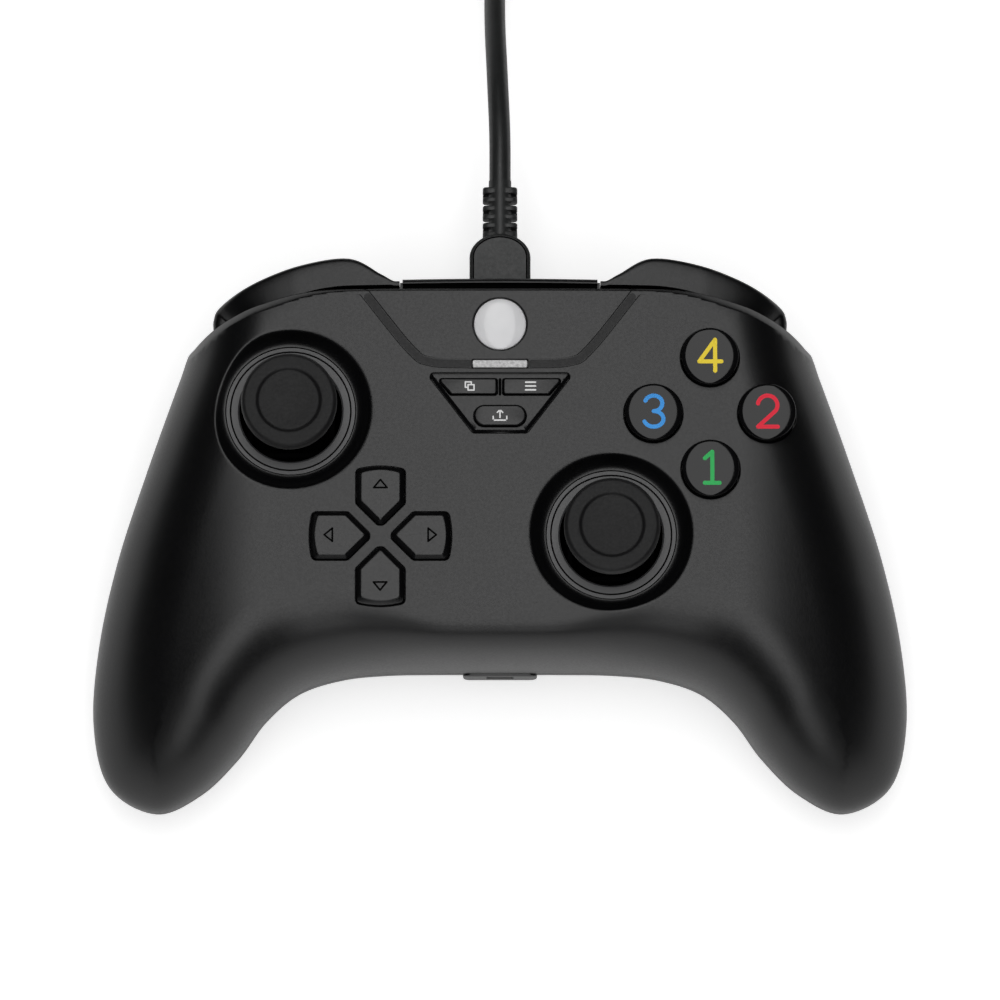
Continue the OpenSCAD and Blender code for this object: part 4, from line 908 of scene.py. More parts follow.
@dataclass
class FrontHousing:
    """The face shell: lofted skin, dishes, openings, sunken menu panel and groove."""

    spacing: float = 1.0
    hole_round: float = 0.24
    chamfer: Point = (0.45, 1.6)
    chamfer_fall: float = 0.85
    groove_w: float = 1.5
    groove_depth: float = 0.1
    groove_wall: float = 0.2
    groove_end: float = 40.7
    dish_r: float = 14.75
    dish_in: float = 12.1
    dish_z: float = 41.7
    dish_blend: float = 0.28
    panel_z: float = 43.1
    panel_wall: float = 1.3
    panel_round: float = 0.2
    ramp: Point = (0.8, 0.62)

    def __post_init__(self) -> None:
        """Works out the lines that the skin follows."""
        self.half = FORM.front_line()
        self.outline = whole(self.half)
        self.edge = FORM.face_line()
        right = LAYOUT.groove()
        self.grooves = [right, right * [-1, 1]]
        self.sticks = [np.array(LAYOUT.left_stick), np.array(LAYOUT.right_stick)]
        self.holes = [circle(at, self.dish_in, 128) for at in self.sticks]
        self.small = [circle(LAYOUT.button_at(a), LAYOUT.button_r + LAYOUT.gap, 80) for a in QUARTERS]
        self.small += [grown(LAYOUT.key(a, LAYOUT.gap), 0) for a in QUARTERS]
        self.small += [circle(LAYOUT.home_at, LAYOUT.home_r + LAYOUT.gap, 80), LAYOUT.light(0.1), LAYOUT.panel()]

    def height(self, p: np.ndarray) -> np.ndarray:
        """Height of the finished skin at plan points."""
        z = FORM.front_z(p, self.half)
        soft = self.dish_blend
        for at in self.sticks:
            r = np.hypot(*(p - at).T)
            share = np.clip((r - self.dish_in) / (self.dish_r - self.dish_in), 0, 3)
            dish = self.dish_z + (FORM.face_z - self.dish_z) * share**1.9
            z = np.where(r < self.dish_r + 4, -soft * np.logaddexp(-z / soft, -dish / soft), z)
        for line in self.grooves:
            past = self.groove_w / 2 + self.groove_wall - gap_to(p, line)
            z = z - self.groove_depth * ease(past / self.groove_wall)
        small, large = self.chamfer
        width = small + (large - small) * ease((np.abs(p[:, 0]) - 28) / 14)
        z = z - self.chamfer_fall * width * np.maximum(0, 1 - gap_to(p, self.edge) / width) ** 1.25
        for hole in self.small:
            near = np.all((p > hole.min(axis=0) - 1) & (p < hole.max(axis=0) + 1), axis=1)
            if near.any():
                z[near] -= edge_drop(p[near], hole, self.hole_round)
        return z

    def keep(self, p: np.ndarray) -> np.ndarray:
        """Which plan points belong to the skin."""
        below = p[:, 1] < np.interp(p[:, 0], *self.edge.T)
        return inside(p, self.outline, [*self.holes, *self.small]) & below

    def build(self) -> None:
        """Makes the skin, the groove's floor and the sunken panel."""
        lines = FORM.rim_rows(self.half, FORM.edge_round, FORM.front_power)
        lines += [(self.edge - [0, d], False) for d in (0, 0.15, 0.3, 0.45, 0.7, 1.0, 1.3, 1.6, 1.8)]
        for hole in self.small:
            lines += rows_round(hole, (0, 0.04, 0.11, 0.2, 0.29, 0.45))
        radii = [self.dish_in, 12.5, 12.9, 13.3, 13.7, 14.0, 14.25, 14.45, 14.6, 14.75, 14.9, 15.1, 15.4, 15.8]
        for at in self.sticks:
            lines += [(circle(at, r, 128), True) for r in radii]
        for line in self.grooves:
            lines += [(line + left_of(line) * d, False) for d in (-0.95, -0.85, -0.75, 0, 0.75, 0.85, 0.95)]
        skin = Skin(self.keep, self.height, FORM.wall, FORM.rim_test(self.half), outline=self.outline)
        shape = skin.build(lines, FORM.fill(self.spacing))
        shape.place("front_housing_skin", SATIN_ABS, HOUSING, ["front_housing"], "shell", solid=False)
        floor = Shape()
        for line in self.grooves:
            floor.ribbon(line[line[:, 1] < self.groove_end], self.groove_w - 0.1, self.height)
        floor.place("face_groove", COARSE_ABS, HOUSING, slot="shell", solid=False)
        self.panel()

    def panel(self) -> None:
        """Makes the floor of the sunken menu panel with its openings, and the rib between the menu keys as a flat
        strip of painted shade.
        """
        border = LAYOUT.panel()
        cuts = [LAYOUT.menu(-1, LAYOUT.gap), LAYOUT.menu(1, LAYOUT.gap), LAYOUT.pill(LAYOUT.gap)]
        width, rise = self.ramp

        def height(p: np.ndarray) -> np.ndarray:
            """Height of the floor, with rounded openings and ramps along its slanted sides."""
            z = np.full(len(p), self.panel_z)
            for side in (-1, 1):
                z += rise * np.maximum(0, 1 - gap_to(p, LAYOUT.panel_side(side)) / width)
            for cut in cuts:
                z -= edge_drop(p, cut, self.panel_round)
            return z

        lines = rows_round(border, (0, -0.2, -0.4, -0.6, -0.8))
        for cut in cuts:
            lines += rows_round(cut, (0, 0.04, 0.1, 0.2))
        skin = Skin(
            lambda p: inside(p, border, cuts), height, self.panel_wall, lambda p: gap_to(p, border, True) < ON_RIM
        )
        shape = skin.build(lines, staggered(1.2, 14, 15, 27))
        shape.place("menu_panel_floor", SATIN_ABS, HOUSING, slot="shell", solid=False)
        # A flat near-black strip on the panel floor: painted shade in the gap between the menu keys.
        rib_shade = Shape()
        path = np.linspace((0, LAYOUT.menu_low), (0, LAYOUT.menu_top), 6)
        rib_shade.ribbon(path, 0.5, level(self.panel_z), 0.015)
        rib_shade.place("menu_panel_rib_shade", PAINTED_SHADE, HOUSING, slot="shell", solid=False)


@dataclass
class RearHousing:
    """The back shell with its trigger pockets, screw wells and the headset boss."""

    spacing: float = 1.3
    pocket: tuple[float, float, float] = (25.3, 53.1, 29.2)
    pocket_end: float = 60.0
    screws: tuple[Point, ...] = ((50, 8), (62, -38))
    screw_r: float = 2.9
    cut_round: float = 0.5
    boss_half: float = 6.95
    boss_z: Point = (13.67, 19.67)
    boss_y: Point = (-26.6, -23.4)
    bore_r: float = 2.4
    bore_drop: float = 2.7
    countersink: float = 0.35
    lip_inset: float = 0.4
    lip_rise: Point = (-1.5, 1.0)
    lip_end: float = 16.0

    def build(self) -> None:
        """Makes the skin, the lip behind the parting line and the boss."""
        half = FORM.rear_line()
        outline = whole(half)
        cuts = [circle((side * x, y), self.screw_r, 48) for x, y in self.screws for side in (-1, 1)]
        inner, outer, low = self.pocket
        for a, b in ((inner, outer), (-outer, -inner)):
            cuts.append(np.array([(a, low), (b, low), (b, self.pocket_end), (a, self.pocket_end)]))

        def height(p: np.ndarray) -> np.ndarray:
            """Height of the finished skin at plan points."""
            z = FORM.rear_z(p, half)
            for cut in cuts:
                z = z + edge_drop(p, cut, self.cut_round)
            return z

        lines = FORM.rim_rows(half, FORM.rear_round, FORM.rear_power)
        for cut in cuts:
            lines += rows_round(cut, (0, 0.08, 0.2, 0.36, 0.5, 0.8))
        skin = Skin(lambda p: inside(p, outline, cuts), height, FORM.wall, FORM.rim_test(half), False, outline)
        shape = skin.build(lines, FORM.fill(self.spacing))
        shape.place("rear_housing_skin", SATIN_ABS, HOUSING, ["rear_housing"], "shell", solid=False)
        self.lip(half)
        self.boss()

    def lip(self, half: np.ndarray) -> None:
        """Closes the parting line from inside with the shells' overlapping lip, coloured as painted shade so that the
        seam stays dark.

        Args:
            half: Right half of the shell's outline.
        """
        path = half[half[:, 1] < FORM.face_edge - self.lip_end]
        path = path + left_of(path) * self.lip_inset
        path = np.vstack([(path * [-1, 1])[:0:-1], path])
        middle = FORM.parting(path[:, 1])
        shape = Shape()
        shape.strip([at_z(path, middle + rise) for rise in self.lip_rise])
        # The lip in near-black: painted shade along the seam.
        shape.place("parting_lip", PAINTED_SHADE, HOUSING, slot="shell", solid=False)

    def boss(self) -> None:
        """Makes the headset boss with its countersunk bore."""
        half, (low, high), (face, root) = self.boss_half, self.boss_z, self.boss_y
        middle = high - self.bore_drop
        rim = rounded([(-half, low), (half, low), (half, high), (-half, high)], 1.5, 12)
        turn = np.arctan2(rim[:, 1] - middle, rim[:, 0])
        rim = rim[np.argsort(turn)]
        turn = np.sort(turn)
        edges = ((0, root), (0, face + 0.4), (0.12, face + 0.12), (0.4, face))
        rings = [at_y(grown(rim, -inset), y) for inset, y in edges]
        sunk = self.bore_r + self.countersink
        for r, y in ((sunk, face), (self.bore_r, face + self.countersink), (self.bore_r, root)):
            rings.append(at_y(np.column_stack([r * np.cos(turn), middle + r * np.sin(turn)]), y))
        shape = Shape()
        shape.rings(rings, caps=False)
        shape.place("headset_boss", SATIN_ABS, HOUSING, slot="shell")


# Shoulder


@dataclass
class TopBridge:
    """The narrow moulding between the bumpers that the lead plugs through."""

    half: float = 18.1
    back: float = 41.8
    lip: float = 43.95
    front: float = 44.9
    low: float = 25.3
    top: float = 41.2
    channel_depth: float = 1.3
    edge_round: float = 0.9
    bow: float = 0.2
    fin_end: float = 44.25
    plug_z: float = 31.1
    plug_hole: Point = (12.0, 7.0)

    def build(self) -> None:
        """Makes the strip with its lip behind a channel, the fins in the slits and the plug's opening, with painted
        shade on the channel's floor and round the opening.
        """
        channel, r = self.top - self.channel_depth, self.edge_round
        profile = [
            (self.back, self.low), (self.back, channel), (self.lip - 0.06, channel), (self.lip, channel + 0.1),
            (self.lip, self.top - 0.12), (self.lip + 0.12, self.top),
        ]
        for a in np.linspace(0, math.pi / 2, 9):
            profile.append((self.front - r * (1 - math.sin(a)), self.top - r * (1 - math.cos(a))))
        profile += [(self.front, self.top - 4), (self.front, self.low)]
        shape = Shape()
        rings = []
        for x in np.linspace(-self.half, self.half, 25):
            bow = -self.bow * (x / self.half) ** 2
            rings.append(np.array([(x, y + bow * (y > self.back + 0.5), z) for y, z in profile]))
        shape.rings(rings)
        foot = self.low + 1
        fin = [(self.back, foot), (self.fin_end, foot), (self.fin_end, channel), (self.back, channel)]
        for side in (-1, 1):
            ends = [side * (self.half - 0.3), side * (self.half + 0.47)]
            shape.rings([at_x(rounded(fin, 0.3, 4), x) for x in ends])
        # A near-black strip on the channel's floor: painted shade.
        shade = Shape()
        floor = np.array([(self.back + 0.1, channel + 0.02), (self.lip - 0.02, channel + 0.02)])
        shade.strip([at_x(floor, x) for x in np.linspace(-self.half, self.half, 9)])
        shade.place("bridge_channel_shade", PAINTED_SHADE, HOUSING, slot="gloss", solid=False)
        shape.place("top_bridge_strip", SATIN_ABS, HOUSING, ["top_bridge"], "gloss", sharp=40)
        # A near-black ring round the plug's opening: painted shade in the gap round the plug.
        rim = Shape()
        hole = rounded(box_points(*self.plug_hole), 2.6, 10)
        edges = ((0.5, -0.1), (0.45, 0.05), (0.1, 0.05), (0, -0.1))
        rim.rings([at_y(grown(hole, grow) + [0, self.plug_z], self.front + y) for grow, y in edges], caps=False)
        rim.place("plug_opening_shade", PAINTED_SHADE, HOUSING, slot="gloss", solid=False)


@dataclass
class Bumper:
    """A shoulder bumper on its hinge pin."""

    side: int
    inner_x: float = 18.4
    end_x: float = 53.5
    low: float = 30.5
    press: float = 1.8
    roof: float = 1.0
    channel: float = 0.7
    inner_top: float = 39.95
    top_fall: float = 0.035
    end_round: float = 1.4
    end_length: float = 9.0
    hinge: Point = (21.5, 38.5)
    eye_r: Point = (1.26, 2.6)
    eye_z: Point = (32.0, 38.0)

    def edge(self, knots: Sequence) -> np.ndarray:
        """One long edge in plan, from knots of (share of the length, offset from the face's edge)."""
        return open_curve([(self.inner_x + (self.end_x - self.inner_x) * s, FORM.face_edge + y) for s, y in knots], 8)

    def build(self) -> None:
        """Makes the rounded key, the shade in its channel and the eye behind it."""
        out = self.edge([
            (0.008, 2.4), (0.045, 2.55), (0.11, 3.95), (0.277, 7), (0.542, 5.7), (0.794, 2.3), (0.963, -1.3),
            (1, -3.6), (1, -6.2),
        ])
        back = self.edge([
            (0.008, -2.6), (0.045, -2.6), (0.11, -2.6), (0.277, -2.8), (0.52, -3.3), (0.72, -5.1), (0.83, -6.9),
            (0.88, -7.9), (0.92, -8.7),
        ])
        levels = [(0.2, 0), (0, 0.12), (0, 0.62), (0.03, 0.86), (0.1, 0.955), (0.28, 0.99), (0.6, 1), (1, 1)]
        hidden = 1.6 - 1.1 * ease((out[:, 0] - 28) / 14)
        seen = out[:, 1] - np.interp(out[:, 0], *FORM.face_line().T) - hidden
        far = np.clip((out[:, 0] - self.end_x + self.end_length) / self.end_length, 0, 1)
        crest = np.maximum(np.clip(seen / (out - back)[:, 1], 0.2, 0.7), 0.2 + 0.55 * far)[:, None]
        tops = self.tops(out, (back - out) * crest, levels)
        inward = left_of(out)
        inward *= np.sign(np.sum(inward * (back - out), axis=1))[:, None]
        fine = np.vstack([np.clip(open_curve(levels, 5), 0, 1), [(1.02, 0.99), (1.05, self.channel)]])
        rings = []
        for share, rise in fine:
            lean = 1 - math.sqrt(1 - max(0.0, (rise - 0.5) / 0.5) ** 2) if share <= 1 else 1.0
            p = out + (back - out) * share * crest + inward * (self.end_round * lean * far**2)[:, None]
            z = self.low + (tops - self.low) * rise
            rings.append(np.vstack([at_z(p, z), at_z(back, z)[::-1]]))
        shape, shade, eye = Shape(), Shape(), Shape()
        shape.rings([ring * [self.side, 1, 1] for ring in rings])
        # A near-black strip on the channel's floor: painted shade.
        rows = [rings[-1][: len(out)], rings[-1][len(out) :][::-1]]
        shade.strip([(row + [0, 0, 0.02]) * [self.side, 1, 1] for row in rows])
        (bore, outer), (foot, head) = self.eye_r, self.eye_z
        profile = [(bore, foot), (outer, foot), (outer, head), (bore, head), (bore, foot)]
        eye.lathe(profile, (self.side * self.hinge[0], self.hinge[1]), 48)
        name = "left_bumper" if self.side < 0 else "right_bumper"
        shape.place(name + "_key", SATIN_ABS, name, [name], "gloss", sharp=38)
        shade.place(name + "_channel", PAINTED_SHADE, name, slot="gloss", solid=False)
        eye.place(name + "_eye", SATIN_ABS, name, slot="gloss")

    def tops(self, out: np.ndarray, crest: np.ndarray, levels: Sequence[Point]) -> np.ndarray:
        """Height of the key along its length, under the front shell also when pressed.

        Args:
            out: The outer edge in plan.
            crest: From each of its points to where the top ends.
            levels: The key's profile as (share of the crest, share of the height).

        Returns:
            One height per point of the edge, falling towards the end.
        """
        line = FORM.front_line()
        tops = self.inner_top - self.top_fall * (out[:, 0] - self.inner_x)
        for share, rise in levels:
            if rise > 0.3:
                p = out + crest * share - [0, self.press]
                tops = np.minimum(tops, self.low + (FORM.front_z(p, line, FORM.wall) - self.roof - self.low) / rise)
        return np.minimum.accumulate(tops)


@dataclass
class Trigger:
    """A trigger: curved finger plate, side webs and the hub on its pin."""

    side: int
    inner_x: float = 27.0
    outer_x: float = 51.4
    reach: float = 51.8
    root_y: float = 43.7
    root_draw: float = 3.2
    lip: float = 8.5
    top: float = 29.4
    thick: float = 3.0
    web: float = 2.0
    web_half: float = 2.9
    pivot: Point = (34.7, 24.0)
    hub_r: float = 3.1
    hub_length: float = 6.0
    bore_r: float = 1.56

    def build(self) -> None:
        """Makes the plate, the webs and the hubs as one piece."""
        knots = [(0, -0.9), (0.25, 0), (0.53, -1.1), (0.78, -3.8), (1, -7.4)]
        width = self.outer_x - self.inner_x
        stations = open_curve([(self.inner_x + width * s, self.reach + y) for s, y in knots], 8)
        profile = open_curve([(0, 1), (0.18, 0.8), (0.36, 0.56), (0.58, 0.3), (0.86, 0.08), (1, 0)], 5)

        def plate(reach: float, inset: float) -> np.ndarray:
            """The finger side in y and z for a station's reach."""
            root = self.root_y - self.root_draw * ease((self.reach - 2.5 - reach) / 5)
            y = root + (reach - root) * profile[:, 0] - inset
            return np.column_stack([np.minimum(y, reach), self.lip + (self.top - self.lip) * profile[:, 1]])

        shape = Shape()
        rings = []
        for x, reach in stations:
            rings.append(at_x(np.vstack([plate(reach, 0), plate(reach, self.thick)[::-1]]), self.side * x))
        shape.rings(rings)
        y, z = self.pivot
        for x, reach in ((self.inner_x + 0.3, stations[8][1]), (self.outer_x - 2.3, stations[-1][1])):
            web = np.vstack([plate(reach, self.thick / 2), [(y, z - self.web_half), (y, z + self.web_half)]])
            shape.rings([at_x(web, self.side * v) for v in (x, x + self.web)])
        for start in (self.inner_x, self.outer_x - self.hub_length):
            end = start + self.hub_length
            hub = ((self.bore_r, start), (self.hub_r, start), (self.hub_r, end), (self.bore_r, end))
            rows = [at_x(circle(self.pivot, r, 40), self.side * x) for r, x in hub]
            shape.rings([*rows, rows[0]], caps=False)
        name = "left_trigger" if self.side < 0 else "right_trigger"
        shape.place(name + "_plate", SATIN_ABS, name, [name], "trigger", sharp=40)


# Sticks and keys


@dataclass
class ThumbStick:
    """The thumb cap on its skirt dome."""

    side: str
    at: Point
    pivot_z: float = 36.0
    rise: float = 17.0
    cap_r: float = 8.8
    ring_z: float = 41.6
    ring_line: Point = (11.12, 0.3)
    dome_r: float = 10.1
    dome_t: float = 0.8
    dome_angle: float = 47.0
    neck_r: float = 3.4
    neck_z: float = 9.4
    cup_r: Point = (12.25, 12.5)
    cup_z: tuple[float, float, float] = (29.52, 29.7, 40.6)

    def build(self) -> None:
        """Turns the cap with dished top, step, rolled rim and neck, and its skirt; adds a cup of painted shade below
        and a line of painted shade on the ring.
        """
        top, r, neck = self.rise, self.cap_r, self.neck_r
        arc = np.radians(np.linspace(0, self.dome_angle, 20))
        inner, outer = self.dome_r - self.dome_t, self.dome_r
        skirt = [(inner * math.sin(a), inner * math.cos(a)) for a in arc]
        over = [(outer * math.sin(a), outer * math.cos(a)) for a in arc[::-1]]
        skirt += [point for point in over if point[0] > neck + 0.2]
        skirt.append((AXIS, skirt[-1][1]))
        rim = open_curve(
            [
                (neck, self.neck_z), (neck, 12.0), (neck + 0.8, 13.0), (neck + 2, 13.3), (r - 0.9, 13.3),
                (r - 0.25, 13.6), (r, 14.3), (r, top - 1.2), (r - 0.14, top - 0.5), (r - 0.55, top - 0.1),
                (r - 1.1, top - 0.01), (6.5, top - 0.01), (6.05, top - 0.06), (5.8, top - 0.22), (5.6, top - 0.42),
                (5.35, top - 0.5), (5.0, top - 0.52),
            ],
            5,
        )
        dish = [(5.0 * (1 - t), top - 0.52 - 0.22 * (1 - (1 - t) ** 2)) for t in np.linspace(0.12, 1, 9)]
        cap = [(AXIS, self.neck_z), *map(tuple, rim), *dish]
        body = f"{self.side}_stick"
        # The skirt in black acetal with almost no reflection: real black plastic, kept black as painted shade under
        # the cap.
        self.turn(skirt).place(f"{body}_skirt", SHADE_PAINTED_ACETAL, body, slot="stick_rubber")
        self.turn(cap).place(f"{self.side}_thumb_cap", SOFT_RUBBER, body, [f"{body}_cap"], "stick_rubber")
        (near, wide), (low, floor, high) = self.cup_r, self.cup_z
        # A near-black cup under the stick's opening: painted shade where one looks past the cap into the housing.
        shade_cup = Shape()
        shade_cup.lathe([(AXIS, low), (wide, low), (wide, high), (near, high), (near, floor), (AXIS, floor)], self.at, 64)
        shade_cup.place(f"{body}_felt", SHADE_PAINTED_ACETAL, HOUSING, slot="stick_rubber")
        # A near-black line on the ring: painted shade of its groove.
        radius, width = self.ring_line
        loop = circle(self.at, radius)
        line = Shape()
        line.ribbon(np.vstack([loop, loop[:1]]), width, level(self.ring_z), 0.015)
        line.place(f"{self.side}_ring_line", PAINTED_SHADE, HOUSING, slot="ring", solid=False)

    def turn(self, profile: Sequence[Point]) -> Shape:
        """A profile with heights above the pivot, turned about the stick."""
        shape = Shape()
        shape.lathe([(max(AXIS, x), self.pivot_z + z) for x, z in profile], self.at, 112)
        return shape


class Mark(Enum):
    """The plain number on each face button."""

    ONE = 1
    TWO = 2
    THREE = 3
    FOUR = 4


def strokes(mark: Mark) -> list[np.ndarray]:
    """The strokes of a number in a box 4 wide and 6 high.

    Args:
        mark: Which number.

    Returns:
        One line of dense plan points per stroke.
    """

    def arc(centre: Point, radius: Point, start: float, end: float) -> np.ndarray:
        """Points of an elliptic arc in degrees."""
        turn = np.radians(np.linspace(start, end, 28))
        return np.column_stack([centre[0] + radius[0] * np.cos(turn), centre[1] + radius[1] * np.sin(turn)])

    def runs(*points: Point) -> list[np.ndarray]:
        """Straight runs between points."""
        return [np.linspace(a, b, 14) for a, b in zip(points[:-1], points[1:])]

    if mark is Mark.ONE:
        return [*runs((-1.15, 1.75), (0.25, 3.0), (0.25, -3.0)), *runs((-1.2, -3.0), (1.6, -3.0))]
    if mark is Mark.TWO:
        return [arc((0, 1.15), (1.85, 1.85), 170, -35), *runs((1.52, 0.09), (-1.85, -3.0), (1.9, -3.0))]
    if mark is Mark.THREE:
        return [arc((0, 1.5), (1.65, 1.5), 160, -90), arc((0, -1.5), (1.85, 1.5), 90, -160)]
    return runs((0.9, -3.0), (0.9, 3.0), (-2.1, -1.2), (2.1, -1.2))


@dataclass
class FaceButtons:
    """Four polished domes with coloured numbers."""

    top: float = 46.4
    crest: float = 0.85
    low: float = 36.7
    flange: float = 0.9
    flange_top: float = 37.9
    stroke: float = 0.76
    number_size: float = 0.97
    power: float = 5.2

    def build(self) -> None:
        """Makes each dome and its number."""
        plan = [
            ("right", Mark.TWO, RED_INK),
            ("top", Mark.FOUR, YELLOW_INK),
            ("left", Mark.THREE, BLUE_INK),
            ("bottom", Mark.ONE, GREEN_INK),
        ]
        for angle, (name, mark, colour) in zip(QUARTERS, plan):
            self.button(f"{name}_button", LAYOUT.button_at(angle), mark, colour)

    def button(self, name: str, at: Point, mark: Mark, colour: Finish) -> None:
        """Makes one button.

        Args:
            name: CAD node and body.
            at: Centre in plan.
            mark: Its number.
            colour: The number's finish.
        """
        r = LAYOUT.button_r
        base, wide, share = self.top - self.crest, r + self.flange, 2 / self.power
        profile = [(AXIS, self.low), (wide, self.low), (wide, self.flange_top), (r, self.flange_top), (r, base)]
        for a in np.linspace(0.01, math.pi / 2 - 0.0005, 60):
            profile.append((r * math.cos(a) ** share, base + self.crest * math.sin(a) ** share))
        shape = Shape()
        shape.lathe(profile, at)
        shape.place(name + "_dome", GLOSS_ABS, name, [name], "button")

        def height(p: np.ndarray) -> np.ndarray:
            """Height of the dome."""
            gap = np.minimum(np.hypot(*(p - at).T) / r, 0.999)
            return base + self.crest * (1 - gap**self.power) ** (1 / self.power)

        number = Shape()
        for i, line in enumerate(strokes(mark)):
            number.ribbon(line * self.number_size + at, self.stroke, height, 0.02 + 0.003 * i)
        number.place(name + "_number", colour, name, slot="button", solid=False)


@dataclass
class DirectionKeys:
    """Four separate direction keys with an engraved arrow each, its engraving drawn as painted shade."""

    top: float = 45.3
    bevel: float = 0.8
    drop: float = 0.9
    low: float = 36.7
    arrow: Point = (2.45, 1.5)
    arrow_from_end: float = 2.6
    stroke: float = 0.34

    def build(self) -> None:
        """Makes each key and its arrow."""
        top, bevel, edge = self.top, self.bevel, self.top - self.drop
        levels = [
            (0.0, self.low), (0.0, edge - 0.25), (0.05, edge - 0.08), (0.16, edge + 0.05), (bevel - 0.2, top - 0.14),
            (bevel - 0.06, top - 0.03), (bevel + 0.1, top), (bevel + 0.3, top),
        ]
        width, length = self.arrow
        tip = LAYOUT.dpad_reach - self.arrow_from_end
        corners = np.array([(0, tip), (-width / 2, tip - length), (width / 2, tip - length), (0, tip)])
        for name, angle in zip(("right", "up", "left", "down"), QUARTERS):
            body = f"dpad_{name}"
            shape, arrow = Shape(), Shape()
            shape.rings([at_z(LAYOUT.key(angle, -inset), z) for inset, z in levels])
            shape.place(body + "_key", KEY_ABS, body, [body], "key", sharp=60)
            # The arrow's engraving as near-black strokes: painted shade.
            arrow.lines(turned(corners, angle) + LAYOUT.dpad_at, 8, self.stroke, level(top), (0.012, 0.002))
            arrow.place(body + "_arrow", PAINTED_SHADE, body, slot="key", solid=False)


@dataclass
class MenuKeys:
    """Home button, view and menu keys, pill button and status light."""

    low: float = 40.5
    menu_top: float = FORM.face_z - 0.1
    pill_top: float = FORM.face_z + 0.1
    light_top: float = FORM.face_z + 0.05
    home_top: float = FORM.face_z + 0.5
    home_crest: float = 0.8
    home_foot: Point = (38.1, 39.1)
    icon_y: float = 23.9
    stroke: float = 0.26
    lifts: Point = (0.012, 0.002)

    def build(self) -> None:
        """Makes the five small pieces and their icons."""
        self.home()
        for name, side in (("view", -1), ("menu", 1)):
            self.key(f"{name}_button", name, LAYOUT.menu(side, 0), self.menu_top, KEY_ABS, "key")
        self.key("share_button", "share", LAYOUT.pill(0), self.pill_top, KEY_ABS, "key")
        self.key("status_light", HOUSING, LAYOUT.light(0), self.light_top, FROSTED_PC, "light")
        self.icons()

    def home(self) -> None:
        """Makes the domed home button on its flange."""
        r, base, (low, high) = LAYOUT.home_r, self.home_top - self.home_crest, self.home_foot
        profile = [(AXIS, low), (r + 1, low), (r + 1, high), (r, high), (r, base)]
        for a in np.linspace(0.15, math.pi / 2 - 0.004, 18):
            profile.append((r * math.cos(a), base + self.home_crest * math.sin(a)))
        shape = Shape()
        shape.lathe(profile, LAYOUT.home_at)
        shape.place("home_dome", PEARL_PC, "home", ["home_button"], "home")

    def key(self, node: str, body: str, outline: np.ndarray, top: float, finish: Finish, slot: str) -> None:
        """Makes one small key with a rounded edge.

        Args:
            node: CAD node that it stands for.
            body: Body that it rides on.
            outline: Its outline in plan.
            top: Height of its top.
            finish: Its material.
            slot: Material slot of the record.
        """
        shape = Shape()
        shape.stack(outline, [(0, self.low), (0, top - 0.22), (0.03, top - 0.1), (0.1, top - 0.03), (0.22, top)])
        shape.place(node + "_top", finish, body, [node], slot, sharp=50)

    def icons(self) -> None:
        """Prints the three plain icons: two sheets, three bars and an upward arrow."""
        flat = level(self.menu_top)
        sheets, bars, arrow = Shape(), Shape(), Shape()
        box = [(-0.3, -0.77), (0.8, -0.77), (0.8, 0.25), (-0.3, 0.25), (-0.3, -0.77)]
        hook = [(-0.5, -0.25), (-0.8, -0.25), (-0.8, 0.77), (0.3, 0.77), (0.3, 0.47)]
        for line in (box, hook):
            sheets.lines(np.array(line) + [-5.6, self.icon_y], 5, self.stroke, flat, self.lifts)
        sheets.place("view_icon", WHITE_INK, "view", slot="key", solid=False)
        for y in (self.icon_y - 0.72, self.icon_y, self.icon_y + 0.72):
            bars.ribbon(np.linspace((4.75, y), (6.55, y), 6), 0.3, flat, self.lifts[0])
        bars.place("menu_icon", WHITE_INK, "menu", slot="key", solid=False)
        stem, head = [(0, -0.45), (0, 1.0)], [(-0.5, 0.5), (0, 1.02), (0.5, 0.5)]
        tray = [(-1.25, -0.25), (-1.25, -0.95), (1.25, -0.95), (1.25, -0.25)]
        for i, line in enumerate((stem, head, tray)):
            lift = self.lifts[0] + self.lifts[1] * i
            arrow.lines(np.array(line) + LAYOUT.pill_at, 5, self.stroke, level(self.pill_top), (lift, 0))
        arrow.place("share_icon", WHITE_INK, "share", slot="key", solid=False)


